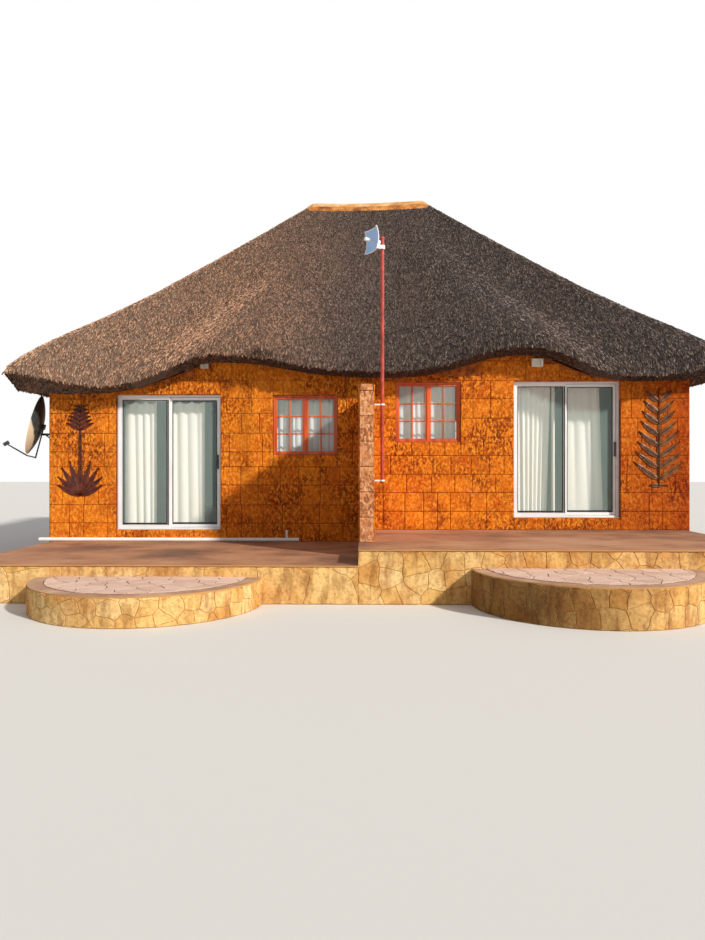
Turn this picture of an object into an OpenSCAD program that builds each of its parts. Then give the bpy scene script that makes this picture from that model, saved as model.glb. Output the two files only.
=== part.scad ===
// Thatched twin chalet hut: two guest units under one hipped thatch roof with eyebrow eaves,
// stone-faced stoeps with half-round steps, sliding patio doors, timber windows, antenna mast and dish.
// Millimetres. +X right seen from the front, +Y to the back, +Z up. Z = 0 is the lawn;
// X = Y = 0 lies under the middle of the ridge.

/* [House] */
// outside width of the house walls
body_w = 10140; // [9400:20:10600]
// outside depth of the house walls
body_d = 8000; // [7800:20:8200]
// masonry wall thickness
wall_t = 225; // [150:5:260]
// floor level of the left unit above the lawn
floor_left = 650; // [560:10:700]
// how much higher the right unit's floor lies
floor_rise = 200; // [100:10:240]

/* [Stoep] */
// stoep depth in front of the house
stoep_d = 2800; // [2400:20:3200]
// stoep half width, from the divider to its outer end
stoep_w = 5000; // [4700:20:5060]
// top of the left stoep
stoep_left = 465; // [420:5:500]
// top of the right stoep
stoep_right = 655; // [600:5:700]
// how far left of the middle the higher level starts
level_x = 100; // [96:1:160]
// radius of the half-round steps
step_r = 1340; // [1000:20:1500]
// distance of the step centres from the middle
step_x = 2590; // [2300:10:2900]
// top of the left step
step_left = 320; // [250:5:340]
// top of the right step
step_right = 430; // [380:5:460]

/* [Divider wall] */
// thickness of the fin between the two stoeps
fin_t = 190; // [120:5:190]
// how far the fin stands out from the house
fin_d = 2000; // [1700:10:2200]
// top of the fin
fin_top = 2650; // [2400:10:2800]
// the small block on the fin's front end: width, depth, height
fin_block = [150, 300, 75];

/* [Doors] */
// width of the door openings
door_w = 1670; // [1500:10:1800]
// height of the door openings
door_h = 2150; // [2000:10:2150]
// distance of the door centres from the middle
door_x = 3160; // [3050:10:3250]
// depth of the aluminium door frame
door_frame_d = 100; // [95:1:110]
// face width of the door frame members
door_jamb = 30; // [25:1:50]
// face width of the panel stiles and rails
door_stile = 40; // [34:1:60]
// thickness of a door panel
door_panel_t = 34; // [30:1:36]
// running clearance round the sliding panels
door_run = 6; // [5:0.5:8]
// how far the two panels of a door overlap in the middle
door_lap = 8; // [4:1:40]
// height of the door pulls above the sill
pull_z = 1080; // [950:10:1150]
// distance of the frames behind the wall face
reveal = 60; // [40:5:70]

/* [Windows] */
// width of the window openings
win_w = 1022; // [900:1:1100]
// height of the window openings
win_h = 949; // [850:1:1000]
// distance of the window centres from the middle
win_x = 975; // [900:5:1000]
// window heads below the door heads
win_drop = 10; // [0:5:60]
// face width and depth of the timber frames
win_frame = [55, 75];
// face width and thickness of the sash members
win_sash = [48, 38];
// glass thickness
glass_t = 6; // [4:1:6]

/* [Curtains] */
// where the left door's two curtains hang, as shares of the door's width from its centre
drapes_left = [[-0.54, -0.17], [-0.07, 0.305]];
// the same for the right door
drapes_right = [[-0.475, -0.063], [0.02, 0.364]];
// where a window's two nets hang, as shares of its width from its centre
nets = [[-0.46, -0.02], [0.02, 0.46]];
// half length of a door rail and of a window rail, as shares of the opening
rail_reach = [0.56, 0.51];
// height of the rails above the door heads
rail_up = 70; // [50:5:100]
// how far the left door's rail hangs below the door head, where its heading is seen
rail_down = 60; // [40:5:100]
// gap under the door curtains
hem_gap = 30; // [20:5:60]
// length of the window nets
net_h = 1080; // [980:10:1100]

/* [Roof] */
// eave overhang at the front and back
over_front = 420; // [350:10:500]
// eave overhang at the two ends
over_end = 720; // [600:10:740]
// how far the roof lies right of the walls' middle
roof_shift = 20; // [0:5:80]
// plan radius of the roof corners
corner_r = 450; // [400:10:700]
// half length of the ridge
ridge_half = 1260; // [1200:10:1400]
// top of the thatch at the ridge
ridge_z = 7300; // [7100:10:7400]
// dip of the ridge in its middle
ridge_sag = 35; // [0:1:45]
// rise of the ridge from the middle to the right end
ridge_tilt = 25; // [0:1:30]
// thatch thickness straight down at the ridge
thatch_ridge = 300; // [280:5:340]
// how far the sheared edge runs back under the eave's tip
undercut = 200; // [150:10:220]
// how far the thatch is rounded up behind its tip
nose = 118; // [0:1:120]
// hollow of the upper slope below a straight line
bell = 62; // [0:2:70]
// how fast the eyebrows die out up the slope
brow_fade = 1.6; // [1:0.1:1.8]
// heights of the eave's tip and lower edge at the left end and at the right end
eave_ends = [[3140, 2880], [3220, 3040]];
// front eave, [distance from the middle, height of its tip, height of its lower edge], read along the photo
eave_line = [
    [-5700, 3160, 2840], [-5200, 3065, 2810], [-4890, 2990, 2795], [-4400, 2910, 2790],
    [-4100, 2865, 2795], [-3900, 2890, 2815], [-3500, 2975, 2905], [-3165, 3100, 3020],
    [-2740, 3310, 3210], [-2450, 3405, 3305], [-1600, 3330, 3240], [-800, 3155, 3080],
    [240, 3095, 3020], [900, 3130, 3050], [1430, 3265, 3170], [1670, 3360, 3262],
    [1900, 3430, 3330], [2200, 3478, 3378], [2620, 3478, 3378], [2955, 3418, 3318],
    [3340, 3205, 3115], [3575, 3096, 3025], [3810, 3041, 2985], [4120, 3017, 2965],
    [4410, 3035, 2970], [4770, 3072, 2985], [5170, 3142, 3010], [5800, 3220, 3040]
];
// half the diameter of the roof poles
pole_r = 45; // [40:1:50]
// half the diameter of the ridge pole
ridge_pole_r = 60; // [50:1:65]
// cement ridge cap: thickness, half width of its saddle, how far it runs past the ridge ends
cap_t = 55; // [45:1:70]
cap_half = 210; // [180:5:260]
cap_end = 90; // [80:5:300]

/* [Mast and dishes] */
// mast centre right of the middle
mast_x = 210; // [180:1:240]
// mast centre in front of the house
mast_out = 1800; // [1600:10:1900]
// half the mast diameter
mast_r = 25; // [20:1:30]
// bottom and top of the mast
mast_z = [1420, 4631];
// heights of the two mast brackets
bracket_z = [1450, 2460];
// height of a bracket's arm
bracket_h = 20; // [12:1:30]
// half the diameter of the satellite dish
dish_r = 495; // [420:5:500]
// dish centre: out from the left wall, back from the front face, height
dish_at = [358, 420, 2330];
// the dish turned forward and leaned back, in degrees
dish_turn = [16.5, 14];
// how far under the dish's centre its stays are held
dish_hold = 140; // [100:5:180]
// half side of the link antenna's square reflector
panel_half = 150; // [120:5:170]
// radius of the reflector's bowl
panel_bowl = 380; // [300:10:500]
// distance from the mast's centre to the back of the reflector
panel_out = 115; // [100:5:130]
// how far the antenna's feed stands before the reflector
feed_len = 150; // [100:5:180]

/* [Lamps, reliefs and pipe] */
// the lamp over the left door: distance from the middle, height, then its width, height and depth
lamp_left = [-2570, 3250, 124, 82, 70];
// the lamp over the right door
lamp_right = [2682, 3285, 175, 126, 80];
// foot of the left relief: distance from the middle, height
relief_left = [-4570, 1180];
// foot of the right relief
relief_right = [4590, 1330];
// how far the reliefs stand out
relief_t = 32; // [20:1:40]
// ends of the drain pipe and the place of its upright branch, from the middle
pipe_x = [-5210, -1262, -1070];
// half the diameter of the drain pipe
pipe_r = 30; // [25:1:40]

/* [Hidden] */
$fn = 48;
seat = 0.3;
front = -body_d / 2;
half_w = body_w / 2;
in_x = half_w - wall_t;
in_y = body_d / 2 - wall_t;
floor_right = floor_left + floor_rise;
stoep_y = front - stoep_d;
head_left = floor_left + door_h;
head_right = floor_right + door_h;

// the roof is drawn about the middle of its ridge and shifted as a whole
eave_a = half_w + over_end;
eave_b = body_d / 2 + over_front;
arc_x = eave_a - corner_r;
arc_y = eave_b - corner_r;
top_r = 60;
h = 3;
nf = 44;
ns = 12;
nh = 4 * h + nf + ns;
ring_n = 2 * nh;
ridge_drop = 95;
nose_run = 0.35;
rows = [0, 0.012, 0.04, 0.0875, 0.16, 0.27, 0.42, 0.6, 0.8, 1];
nu = len(rows) - 1;

function unit(v) = v / norm(v);
function clamp01(v) = min(1, max(0, v));
tips = [for (e = eave_line) [e[0], e[1]]];
lowers = [for (e = eave_line) [e[0], e[2]]];
ends = [for (c = [0, 1]) [[-half_w, eave_ends[0][c]], [half_w, eave_ends[1][c]]]];
// a running mean of the heights read from the photo
function wave(x, line) = (lookup(x + roof_shift - 220, line) + lookup(x + roof_shift - 80, line)
    + lookup(x + roof_shift + 80, line) + lookup(x + roof_shift + 220, line)) / 4;
// height of an eave line at a plan point, with the front's share of it round the corner
function edge_z(p, share, line, base) = let (z = lookup(p[0], base))
    p[1] < 0 ? z + (wave(p[0], line) - z) * share : z;
function arc(cx, cy, r, t) = [cx + r * cos(t), cy + r * sin(t)];
function arc_lines(sx, sy, t) = [arc(sx * arc_x, sy * arc_y, corner_r, t),
    arc(sx * arc_x, sy * arc_y, corner_r - undercut, t), arc(sx * ridge_half, sy * top_r, top_r, t)];
// plan points of half the roof's rim: [tip, lower edge, ridge, share of the front's heights]
function half_rim(i) =
    i <= h ? let (t = 225 + 45 * i / h) concat(arc_lines(-1, -1, t), (t - 180) / 90)
    : i <= h + nf ? let (k = 2 * (i - h) / nf - 1, x = arc_x * k)
        [[x, -eave_b], [x, undercut - eave_b], [ridge_half * k, -2 * top_r], 1]
    : i <= 3 * h + nf ? let (t = 270 + 45 * (i - h - nf) / h)
        concat(arc_lines(1, -1, t), (360 - t) / 90)
    : i <= 3 * h + nf + ns ? let (k = 2 * (i - 3 * h - nf) / ns - 1, y = arc_y * k)
        [[eave_a, y], [eave_a - undercut, y], [ridge_half + top_r, top_r * k], 0]
    : let (t = 45 * (i - 3 * h - nf - ns) / h) concat(arc_lines(1, 1, t), t / 90);
function ridge_top(x) = ridge_z + ridge_tilt * x / ridge_half
    + ridge_sag * (min(1, pow(x / ridge_half, 2)) - 0.5);
// full rim entry: [lower edge, ridge underside, ridge top height, tip, tip height without eyebrows]
function rim(i) = let (p = half_rim(i % nh), s = i >= nh ? -1 : 1, tip = s * p[0])
    [[s * p[1][0], s * p[1][1], edge_z(tip, p[3], lowers, ends[1])],
     [s * p[2][0], s * p[2][1], ridge_z - ridge_drop - thatch_ridge],
     ridge_top(s * p[2][0]) - ridge_drop,
     [tip[0], tip[1], edge_z(tip, p[3], tips, ends[0])], lookup(tip[0], ends[0])];
ring = [for (i = [0 : ring_n - 1]) rim(i)];
function at(i) = ring[(i + ring_n) % ring_n];
// a point of the thatch's upper side, u = 0 at the tip and 1 at the ridge
function top_point(e, u) =
    [e[3][0] + (e[1][0] - e[3][0]) * u, e[3][1] + (e[1][1] - e[3][1]) * u,
     e[4] * (1 - u) + e[2] * u + (e[3][2] - e[4]) * pow(1 - u, brow_fade)
     - bell * 4 * u * (1 - u) + nose * sin(180 * sqrt(min(1, u / nose_run)))];
// a point of the underside between two rim lines, v across and u up
function under_point(a, b, v, u) = v < u ? a[0] + (a[1] - a[0]) * u + (b[1] - a[1]) * v
    : a[0] + (b[0] - a[0]) * v + (b[1] - b[0]) * u;

// one slope of thatch between two rim lines
module thatch_slope(from, to) {
    m = to - from;
    row = nu + 1;
    tops = [for (i = [from : to], u = rows) top_point(at(i), u)];
    unders = [for (i = [from : to]) each [at(i)[0], at(i)[1]]];
    b = (m + 1) * row;
    translate([roof_shift, 0, 0]) polyhedron(
        points = concat(tops, unders),
        faces = concat(
            [for (i = [0 : m - 1], j = [0 : nu - 1]) each [
                [i * row + j, i * row + j + 1, (i + 1) * row + j + 1],
                [i * row + j, (i + 1) * row + j + 1, (i + 1) * row + j]]],
            [for (i = [0 : m - 1]) each [
                [b + 2 * i, b + 2 * i + 2, b + 2 * i + 3], [b + 2 * i, b + 2 * i + 3, b + 2 * i + 1],
                [b + 2 * i, i * row, (i + 1) * row], [b + 2 * i, (i + 1) * row, b + 2 * i + 2],
                [b + 2 * i + 1, b + 2 * i + 3, (i + 1) * row + nu],
                [b + 2 * i + 1, (i + 1) * row + nu, i * row + nu]]],
            [[b, b + 1, for (j = [nu : -1 : 0]) j]],
            [[b + 2 * m, for (j = [0 : nu]) m * row + j, b + 2 * m + 1]]));
}

// a pole's axis below rim line i: its foot and its top, each set off square to the thatch there
function pole_end(i, e) = at(i)[e]
    - unit(cross(at(i + 1)[e] - at(i - 1)[e], at(i)[1] - at(i)[0])) * (pole_r + seat);
// how much lower a pole goes to clear the hollows of the thatch beside it
pole_drop = [for (i = [0 : ring_n - 1]) let (p = pole_end(i, 0), d = unit(pole_end(i, 1) - p))
    max([for (k = [-2 : 1], v = [0 : 0.125 : 1], u = [0 : 0.05 : 1])
        let (q = under_point(at(i + k), at(i + k + 1), v, u) - p)
            max(0, pole_r + seat - norm(cross(q, d)))]) * 2];
function pole_axis(i, u) = pole_end(i, 0) + (pole_end(i, 1) - pole_end(i, 0)) * u
    - [0, 0, pole_drop[(i + ring_n) % ring_n]];
// the flattest upright share of the thatch's facets beside a rim line
function facing(a, b) = let (n = cross(b[0] - a[0], b[1] - a[0]), m = cross(b[1] - a[0], a[1] - a[0]))
    min(n[2] / norm(n), m[2] / norm(m));
wall_drop = [for (i = [0 : ring_n - 1])
    (2 * pole_r + 2 * seat) / min(facing(at(i - 1), at(i)), facing(at(i), at(i + 1)))
    + max([for (k = [-1 : 1]) pole_drop[(i + k + ring_n) % ring_n]])];

// everything below the roof poles, used to trim the wall tops to the roof
module under_poles() {
    eaves = [for (i = [0 : ring_n - 1]) at(i)[0] - [0, 0, wall_drop[i]]];
    tops = [for (i = [0 : ring_n - 1]) at(i)[1] - [0, 0, wall_drop[i]]];
    feet = [for (i = [0 : ring_n - 1]) [at(i)[0][0], at(i)[0][1], -100]];
    n = ring_n;
    translate([roof_shift, 0, 0]) polyhedron(
        points = concat(eaves, tops, feet, [[0, 0, tops[0][2]]]),
        faces = concat(
            [for (i = [0 : n - 1]) let (k = (i + 1) % n) each [
                [i, n + i, n + k], [i, n + k, k],
                [2 * n + i, i, k], [2 * n + i, k, 2 * n + k],
                [n + i, 3 * n, n + k]]],
            [[for (i = [0 : n - 1]) 2 * n + i]]));
}

// the thatch's upper side as a closed core, raised by the seating gap, used to trim the ridge cap
module thatch_core() {
    n = ring_n;
    lift = [0, 0, seat];
    low = [for (i = [0 : n - 1]) top_point(at(i), rows[nu - 1]) + lift];
    tops = [for (i = [0 : n - 1]) top_point(at(i), 1) + lift];
    feet = [for (i = [0 : n - 1]) [low[i][0], low[i][1], 4500]];
    polyhedron(
        points = concat(feet, low, tops, [[0, 0, ridge_z - ridge_drop - 80]]),
        faces = concat(
            [for (i = [0 : n - 1], j = [0 : 1]) let (k = (i + 1) % n, q = j * n) each [
                [q + i, q + n + i, q + n + k], [q + i, q + n + k, q + k]]],
            [for (i = [0 : n - 1]) [2 * n + i, 3 * n, 2 * n + (i + 1) % n]],
            [[for (i = [0 : n - 1]) i]]));
}

// a round bar from one point to another
module bar(p, q, r) {
    v = q - p;
    translate(p)
        rotate([0, acos(v[2] / norm(v)), atan2(v[1], v[0])])
            cylinder(h = norm(v), r = r);
}

ridge_pole_z = let (i = h + nf / 2, p = pole_axis(i, 0), q = pole_axis(i, 1))
    p[2] + (q[2] - p[2]) * p[1] / (p[1] - q[1]);

// a front or back pole that leans against the ridge pole
module long_pole(i) {
    p = pole_axis(i, 0.02);
    d = unit(pole_axis(i, 1) - p);
    side = sqrt(1 - d[0] * d[0]);
    reach = ([0, -p[1], ridge_pole_z - p[2]] * [0, d[1], d[2]]) / side;
    len = (reach - ridge_pole_r - seat - pole_r * abs(d[0])) / side;
    bar(p, p + d * len, pole_r);
}

// a corner or end pole that stops short of the ridge end
module short_pole(i) {
    bar(pole_axis(i, 0.02), pole_axis(i, 0.9), pole_r);
}

module block(x, y, z) {
    translate([x[0], y[0], z[0]]) cube([x[1] - x[0], y[1] - y[0], z[1] - z[0]]);
}

module left_stoep() {
    color("tan")
        block([-stoep_w, -level_x], [stoep_y, front], [0, stoep_left]);
}

module right_stoep() {
    color("tan")
        block([-level_x, stoep_w], [stoep_y, front], [0, stoep_right]);
}

module half_step(x, top) {
    translate([x, stoep_y, 0])
        difference() {
            cylinder(h = top, r = step_r);
            translate([-step_r - 1, 0, -1]) cube([2 * step_r + 2, step_r + 1, top + 2]);
        }
}

module left_step() { color("rosybrown") half_step(-step_x, step_left); }
module right_step() { color("rosybrown") half_step(step_x, step_right); }

module left_floor() {
    color("gray") block([-in_x, -level_x], [-in_y, in_y], [0, floor_left]);
}

module right_floor() {
    color("gray") block([-level_x, in_x], [-in_y, in_y], [0, floor_right]);
}

// a length of wall with its top trimmed under the poles
module wall(x, y, z0 = 0) {
    intersection() {
        block(x, y, [z0, ridge_z]);
        under_poles();
    }
}

module window_hole(x, top, y) {
    block([x - win_w / 2, x + win_w / 2], y, [top - win_h, top]);
}

front_y = [front, -in_y];
through_front = [front - 10, 10 - in_y];
back_y = [in_y, -front];

module front_wall_left_end() {
    color("peru") wall([-half_w, -door_x - door_w / 2], front_y);
}

module front_wall_left_door_head() {
    color("peru") wall([-door_x - door_w / 2, -door_x + door_w / 2], front_y, head_left);
}

module front_wall_left_middle() {
    color("peru") difference() {
        wall([-door_x + door_w / 2, 0], front_y);
        window_hole(-win_x, head_left - win_drop, through_front);
    }
}

module front_wall_right_middle() {
    color("peru") difference() {
        wall([0, door_x - door_w / 2], front_y);
        window_hole(win_x, head_right - win_drop, through_front);
    }
}

module front_wall_right_door_head() {
    color("peru") wall([door_x - door_w / 2, door_x + door_w / 2], front_y, head_right);
}

module front_wall_right_end() {
    color("peru") wall([door_x + door_w / 2, half_w], front_y);
}

module door_sills() {
    color("gray") {
        block([-door_x - door_w / 2, -door_x + door_w / 2], front_y, [0, floor_left]);
        block([door_x - door_w / 2, door_x + door_w / 2], front_y, [0, floor_right]);
    }
}

module left_side_wall() { color("peru") wall([-half_w, -in_x], [-in_y, in_y]); }
module right_side_wall() { color("peru") wall([in_x, half_w], [-in_y, in_y]); }

module back_wall() {
    color("peru") difference() {
        wall([-half_w, half_w], back_y);
        window_hole(-step_x, head_left - win_drop, [in_y - 10, 10 - front]);
        window_hole(step_x, head_right - win_drop, [in_y - 10, 10 - front]);
    }
}

module divider_wall() {
    color("peru") {
        block([-fin_t / 2, fin_t / 2], [front - fin_d, front], [stoep_right, fin_top]);
        translate([-fin_block[0] / 2, front - fin_d, fin_top - 1])
            cube(fin_block + [0, 0, 1]);
    }
}

module rafters() {
    color("saddlebrown") translate([roof_shift, 0, 0]) {
        for (s = [0, nh], i = [h + 1 : 3 : h + nf - 1]) long_pole(s + i);
        for (s = [0, nh]) {
            short_pole(s);
            short_pole(s + 2 * h + nf);
            for (i = [1 : 2 : ns - 1]) short_pole(s + 3 * h + nf + i);
        }
    }
}

module ridge_pole() {
    color("saddlebrown") translate([roof_shift, 0, 0])
        bar([-ridge_half - top_r, 0, ridge_pole_z], [ridge_half + top_r, 0, ridge_pole_z], ridge_pole_r);
}

module front_thatch() { color("dimgray") thatch_slope(0, 2 * h + nf); }
module right_thatch() { color("dimgray") thatch_slope(2 * h + nf, nh); }
module back_thatch() { color("dimgray") thatch_slope(nh, nh + 2 * h + nf); }
module left_thatch() { color("dimgray") thatch_slope(nh + 2 * h + nf, 2 * nh); }

// the cap's saddle: half width and height of its crest at a distance along the ridge
cap_n = 24;
cap_m = 12;
cap_reach = ridge_half + cap_end;
function cap_x(i) = -cap_reach * cos(180 * i / cap_n);
function cap_w(x) = cap_half * sqrt(1 - 0.94 * pow(clamp01((abs(x) - ridge_half + 60)
    / (cap_end + 60)), 2));
function cap_crest(x) = ridge_top(max(-ridge_half, min(ridge_half, x))) + cap_t
    - 0.86 * (sqrt(pow(max(0, abs(x) - ridge_half + 120), 2) + 3600) - 60);
function cap_z(x, y) = cap_crest(x) - 0.9 * (sqrt(y * y + 3600) - 60);

module ridge_cap() {
    tops = [for (i = [0 : cap_n], j = [0 : cap_m]) let (x = cap_x(i), y = cap_w(x) * (2 * j / cap_m - 1))
        [x, y, cap_z(x, y)]];
    unders = [for (p = tops) p - [0, 0, 2.2 * cap_t]];
    row = cap_m + 1;
    o = row * (cap_n + 1);
    color("sandybrown") translate([roof_shift, 0, 0]) difference() {
        polyhedron(
            points = concat(tops, unders),
            faces = concat(
                [for (i = [0 : cap_n - 1], j = [0 : cap_m - 1]) let (a = i * row + j) each [
                    [a, a + 1, a + row + 1], [a, a + row + 1, a + row],
                    [o + a, o + a + row + 1, o + a + 1], [o + a, o + a + row, o + a + row + 1]]],
                [for (i = [0 : cap_n - 1]) let (a = i * row, c = a + cap_m) each [
                    [a, a + row, o + a + row], [a, o + a + row, o + a],
                    [c, o + c, o + c + row], [c, o + c + row, c + row]]],
                [for (j = [0 : cap_m - 1]) let (c = cap_n * row + j) each [
                    [j, o + j, o + j + 1], [j, o + j + 1, j + 1],
                    [c, c + 1, o + c + 1], [c, o + c + 1, o + c]]]));
        thatch_core();
    }
}

// doors: the frame stands in its opening, the left panel is fixed outside, the right one slides inside
frame_y = front + reveal;
in_w = door_w - 2 * seat - 2 * door_jamb;
panel_w = (in_w + door_lap) / 2;
fixed_y = frame_y + 8;
slide_y = fixed_y + door_panel_t + 10;
track = 30;

module door_frame(x, z) {
    translate([x, frame_y, z])
        difference() {
            block([seat - door_w / 2, door_w / 2 - seat], [0, door_frame_d], [seat, door_h - seat]);
            block([-in_w / 2, in_w / 2], [-1, door_frame_d + 1], [track, door_h - door_jamb]);
        }
}

module panel_frame(x, y, z) {
    block_w = x[1] - x[0];
    block_h = z[1] - z[0];
    translate([x[0], y, z[0]])
        difference() {
            cube([block_w, door_panel_t, block_h]);
            translate([door_stile, -1, door_stile])
                cube([block_w - 2 * door_stile, door_panel_t + 2, block_h - 2 * door_stile]);
        }
}

module panel_glass(x, y, z) {
    block([x[0] + door_stile + seat, x[1] - door_stile - seat],
        [y + (door_panel_t - glass_t) / 2, y + (door_panel_t + glass_t) / 2],
        [z[0] + door_stile + seat, z[1] - door_stile - seat]);
}

function fixed_x(x) = [x - in_w / 2 + seat, x - in_w / 2 + seat + panel_w];
function fixed_z(z) = [z + track + seat, z + door_h - door_jamb - seat];
function slide_x(x) = [x + in_w / 2 - door_run - panel_w, x + in_w / 2 - door_run];
function slide_z(z) = [z + track + door_run, z + door_h - door_jamb - door_run];

module handle(x, z) {
    hx = slide_x(x)[1] - door_stile / 2;
    hz = z + pull_z;
    translate([hx, slide_y - seat, hz])
        rotate([90, 0, 0]) {
            for (k = [-95, 95]) translate([0, k, 0]) cylinder(h = 34, r = 9);
            translate([-11, -115, 26]) cube([22, 230, 12]);
        }
}

module left_door_frame() { color("silver") door_frame(-door_x, floor_left); }
module right_door_frame() { color("silver") door_frame(door_x, floor_right); }

module door_fixed_panels() {
    color("silver") {
        panel_frame(fixed_x(-door_x), fixed_y, fixed_z(floor_left));
        panel_frame(fixed_x(door_x), fixed_y, fixed_z(floor_right));
    }
}

module door_fixed_glass() {
    color("lightblue", 0.4) {
        panel_glass(fixed_x(-door_x), fixed_y, fixed_z(floor_left));
        panel_glass(fixed_x(door_x), fixed_y, fixed_z(floor_right));
    }
}

module left_door_leaf() {
    color("silver") panel_frame(slide_x(-door_x), slide_y, slide_z(floor_left));
}

module left_door_leaf_glass() {
    color("lightblue", 0.4) panel_glass(slide_x(-door_x), slide_y, slide_z(floor_left));
}

module left_door_handle() { color("black") handle(-door_x, floor_left); }

module right_door_leaf() {
    color("silver") panel_frame(slide_x(door_x), slide_y, slide_z(floor_right));
}

module right_door_leaf_glass() {
    color("lightblue", 0.4) panel_glass(slide_x(door_x), slide_y, slide_z(floor_right));
}

module right_door_handle() { color("black") handle(door_x, floor_right); }

// windows: [centre, head height, outer face of the frame, +1 at the front or -1 at the back]
windows = [
    [-win_x, head_left - win_drop, front + 35, 1], [win_x, head_right - win_drop, front + 35, 1],
    [-step_x, head_left - win_drop, -front - 35, -1], [step_x, head_right - win_drop, -front - 35, -1]
];
light_w = (win_w - 2 * seat - 3 * win_frame[0]) / 2;
light_h = win_h - 2 * seat - 2 * win_frame[0];
light_x = (light_w + win_frame[0]) / 2;

module at_window(w) {
    translate([w[0], w[2], w[1] - win_h / 2]) mirror([0, w[3] < 0 ? 1 : 0, 0]) children();
}

module window_frames() {
    color("sienna") for (w = windows) at_window(w) difference() {
        translate([seat - win_w / 2, 0, seat - win_h / 2])
            cube([win_w - 2 * seat, win_frame[1], win_h - 2 * seat]);
        for (s = [-1, 1]) translate([s * light_x - light_w / 2, -1, -light_h / 2])
            cube([light_w, win_frame[1] + 2, light_h]);
    }
}

module window_sashes() {
    color("sienna") for (w = windows, s = [-1, 1]) at_window(w)
        translate([s * light_x, 12, 0]) difference() {
            translate([seat - light_w / 2, 0, seat - light_h / 2])
                cube([light_w - 2 * seat, win_sash[1], light_h - 2 * seat]);
            translate([win_sash[0] - light_w / 2, -1, win_sash[0] - light_h / 2])
                cube([light_w - 2 * win_sash[0], win_sash[1] + 2, light_h - 2 * win_sash[0]]);
        }
}

module window_glass() {
    color("lightblue", 0.4) for (w = windows, s = [-1, 1]) at_window(w)
        translate([s * light_x, 28, 0])
            translate([win_sash[0] + seat - light_w / 2, 0, win_sash[0] + seat - light_h / 2])
                cube([light_w - 2 * win_sash[0] - 2 * seat, glass_t,
                    light_h - 2 * win_sash[0] - 2 * seat]);
}

// curtains: gathered cloth hung from a rail, [from, to, bottom, top]
rail_y = 95 - in_y;
rail_r = 12;
fold = 26;
fold_len = 120;
cloth_t = 10;

module curtain(x, z, y = rail_y) {
    steps = ceil((x[1] - x[0]) / fold_len * 8);
    function wave(k, side) = [x[0] + (x[1] - x[0]) * k / steps,
        fold * sin(360 * (x[1] - x[0]) * k / steps / fold_len) + side * cloth_t / 2];
    translate([0, y, z[0]])
        linear_extrude(height = z[1] - z[0])
            polygon(concat([for (k = [0 : steps]) wave(k, -1)], [for (k = [steps : -1 : 0]) wave(k, 1)]));
}

rail_left = head_left + rail_up;
rail_low = head_left - rail_down;
rail_right = head_right + rail_up;

module door_curtains() {
    color("cornsilk") {
        for (d = drapes_left) curtain(-door_x * [1, 1] + d * door_w,
            [floor_left + hem_gap, rail_low - rail_r - seat]);
        for (d = drapes_right) curtain(door_x * [1, 1] + d * door_w,
            [floor_right + hem_gap, rail_right - rail_r - seat]);
    }
}

module window_curtains() {
    color("white") for (d = nets) {
        curtain(-win_x * [1, 1] + d * win_w, [rail_left - net_h, rail_left - rail_r - seat]);
        curtain(win_x * [1, 1] + d * win_w, [rail_right - net_h, rail_right - rail_r - seat]);
    }
}

module rail(x, reach, z) {
    bar([x - reach, rail_y, z], [x + reach, rail_y, z], rail_r);
    for (e = [x - reach + 20, x + reach - 40])
        block([e, e + 20], [-in_y, rail_y], [z - 10, z + 10]);
}

module curtain_rails() {
    color("ivory") {
        rail(-door_x, rail_reach[0] * door_w, rail_low);
        rail(-win_x, rail_reach[1] * win_w, rail_left);
        rail(win_x, rail_reach[1] * win_w, rail_right);
        rail(door_x, rail_reach[0] * door_w, rail_right);
    }
}

module antenna_mast() {
    color("brown") translate([mast_x, front - mast_out, 0]) {
        bar([0, 0, mast_z[0]], [0, 0, mast_z[1] + 50], mast_r);
        translate([0, 0, mast_z[1] + 41]) cylinder(h = 24, r = mast_r + 7);
    }
}

module mast_brackets() {
    color("white") for (z = bracket_z)
        difference() {
            union() {
                block([fin_t / 2, mast_x], [front - mast_out - 15, front - mast_out + 15],
                    [z, z + bracket_h]);
                translate([mast_x, front - mast_out, z]) cylinder(h = bracket_h, r = mast_r + 8);
                block([fin_t / 2, fin_t / 2 + 6], [front - mast_out - 50, front - mast_out + 50],
                    [z - 20, z + bracket_h + 20]);
            }
            translate([mast_x, front - mast_out, z - 40]) cylinder(h = 80, r = mast_r + seat);
        }
}

// the link antenna faces left and a little forward from the mast's top
module at_antenna() {
    translate([mast_x, front - mast_out, mast_z[1]]) rotate([0, 0, 30]) children();
}

panel_t = 5;
panel_mid = -panel_out - panel_bowl - panel_t;

module antenna_panel() {
    color("white") at_antenna()
        intersection() {
            translate([panel_mid, 0, 0]) difference() {
                sphere(r = panel_bowl + panel_t, $fn = 96);
                sphere(r = panel_bowl, $fn = 96);
            }
            translate([-panel_out - panel_half, -panel_half, -panel_half])
                cube([panel_half + 1, 2 * panel_half, 2 * panel_half]);
        }
}

// housing behind the reflector, and the clamp under it that holds it to the mast
radio_r = 32;
clamp_h = 50;

module antenna_radio() {
    color("gainsboro") at_antenna() {
        difference() {
            union() {
                bar([-panel_out - radio_r, 0, -15], [-mast_r - 20, 0, -15], radio_r);
                translate([-panel_out, -18, -95]) cube([panel_out, 36, clamp_h]);
                translate([0, 0, -95]) cylinder(h = clamp_h, r = mast_r + 10);
            }
            translate([0, 0, -panel_out]) cylinder(h = 2 * panel_out, r = mast_r + seat);
            translate([panel_mid, 0, 0]) sphere(r = panel_bowl + panel_t + seat, $fn = 96);
        }
    }
}

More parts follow.
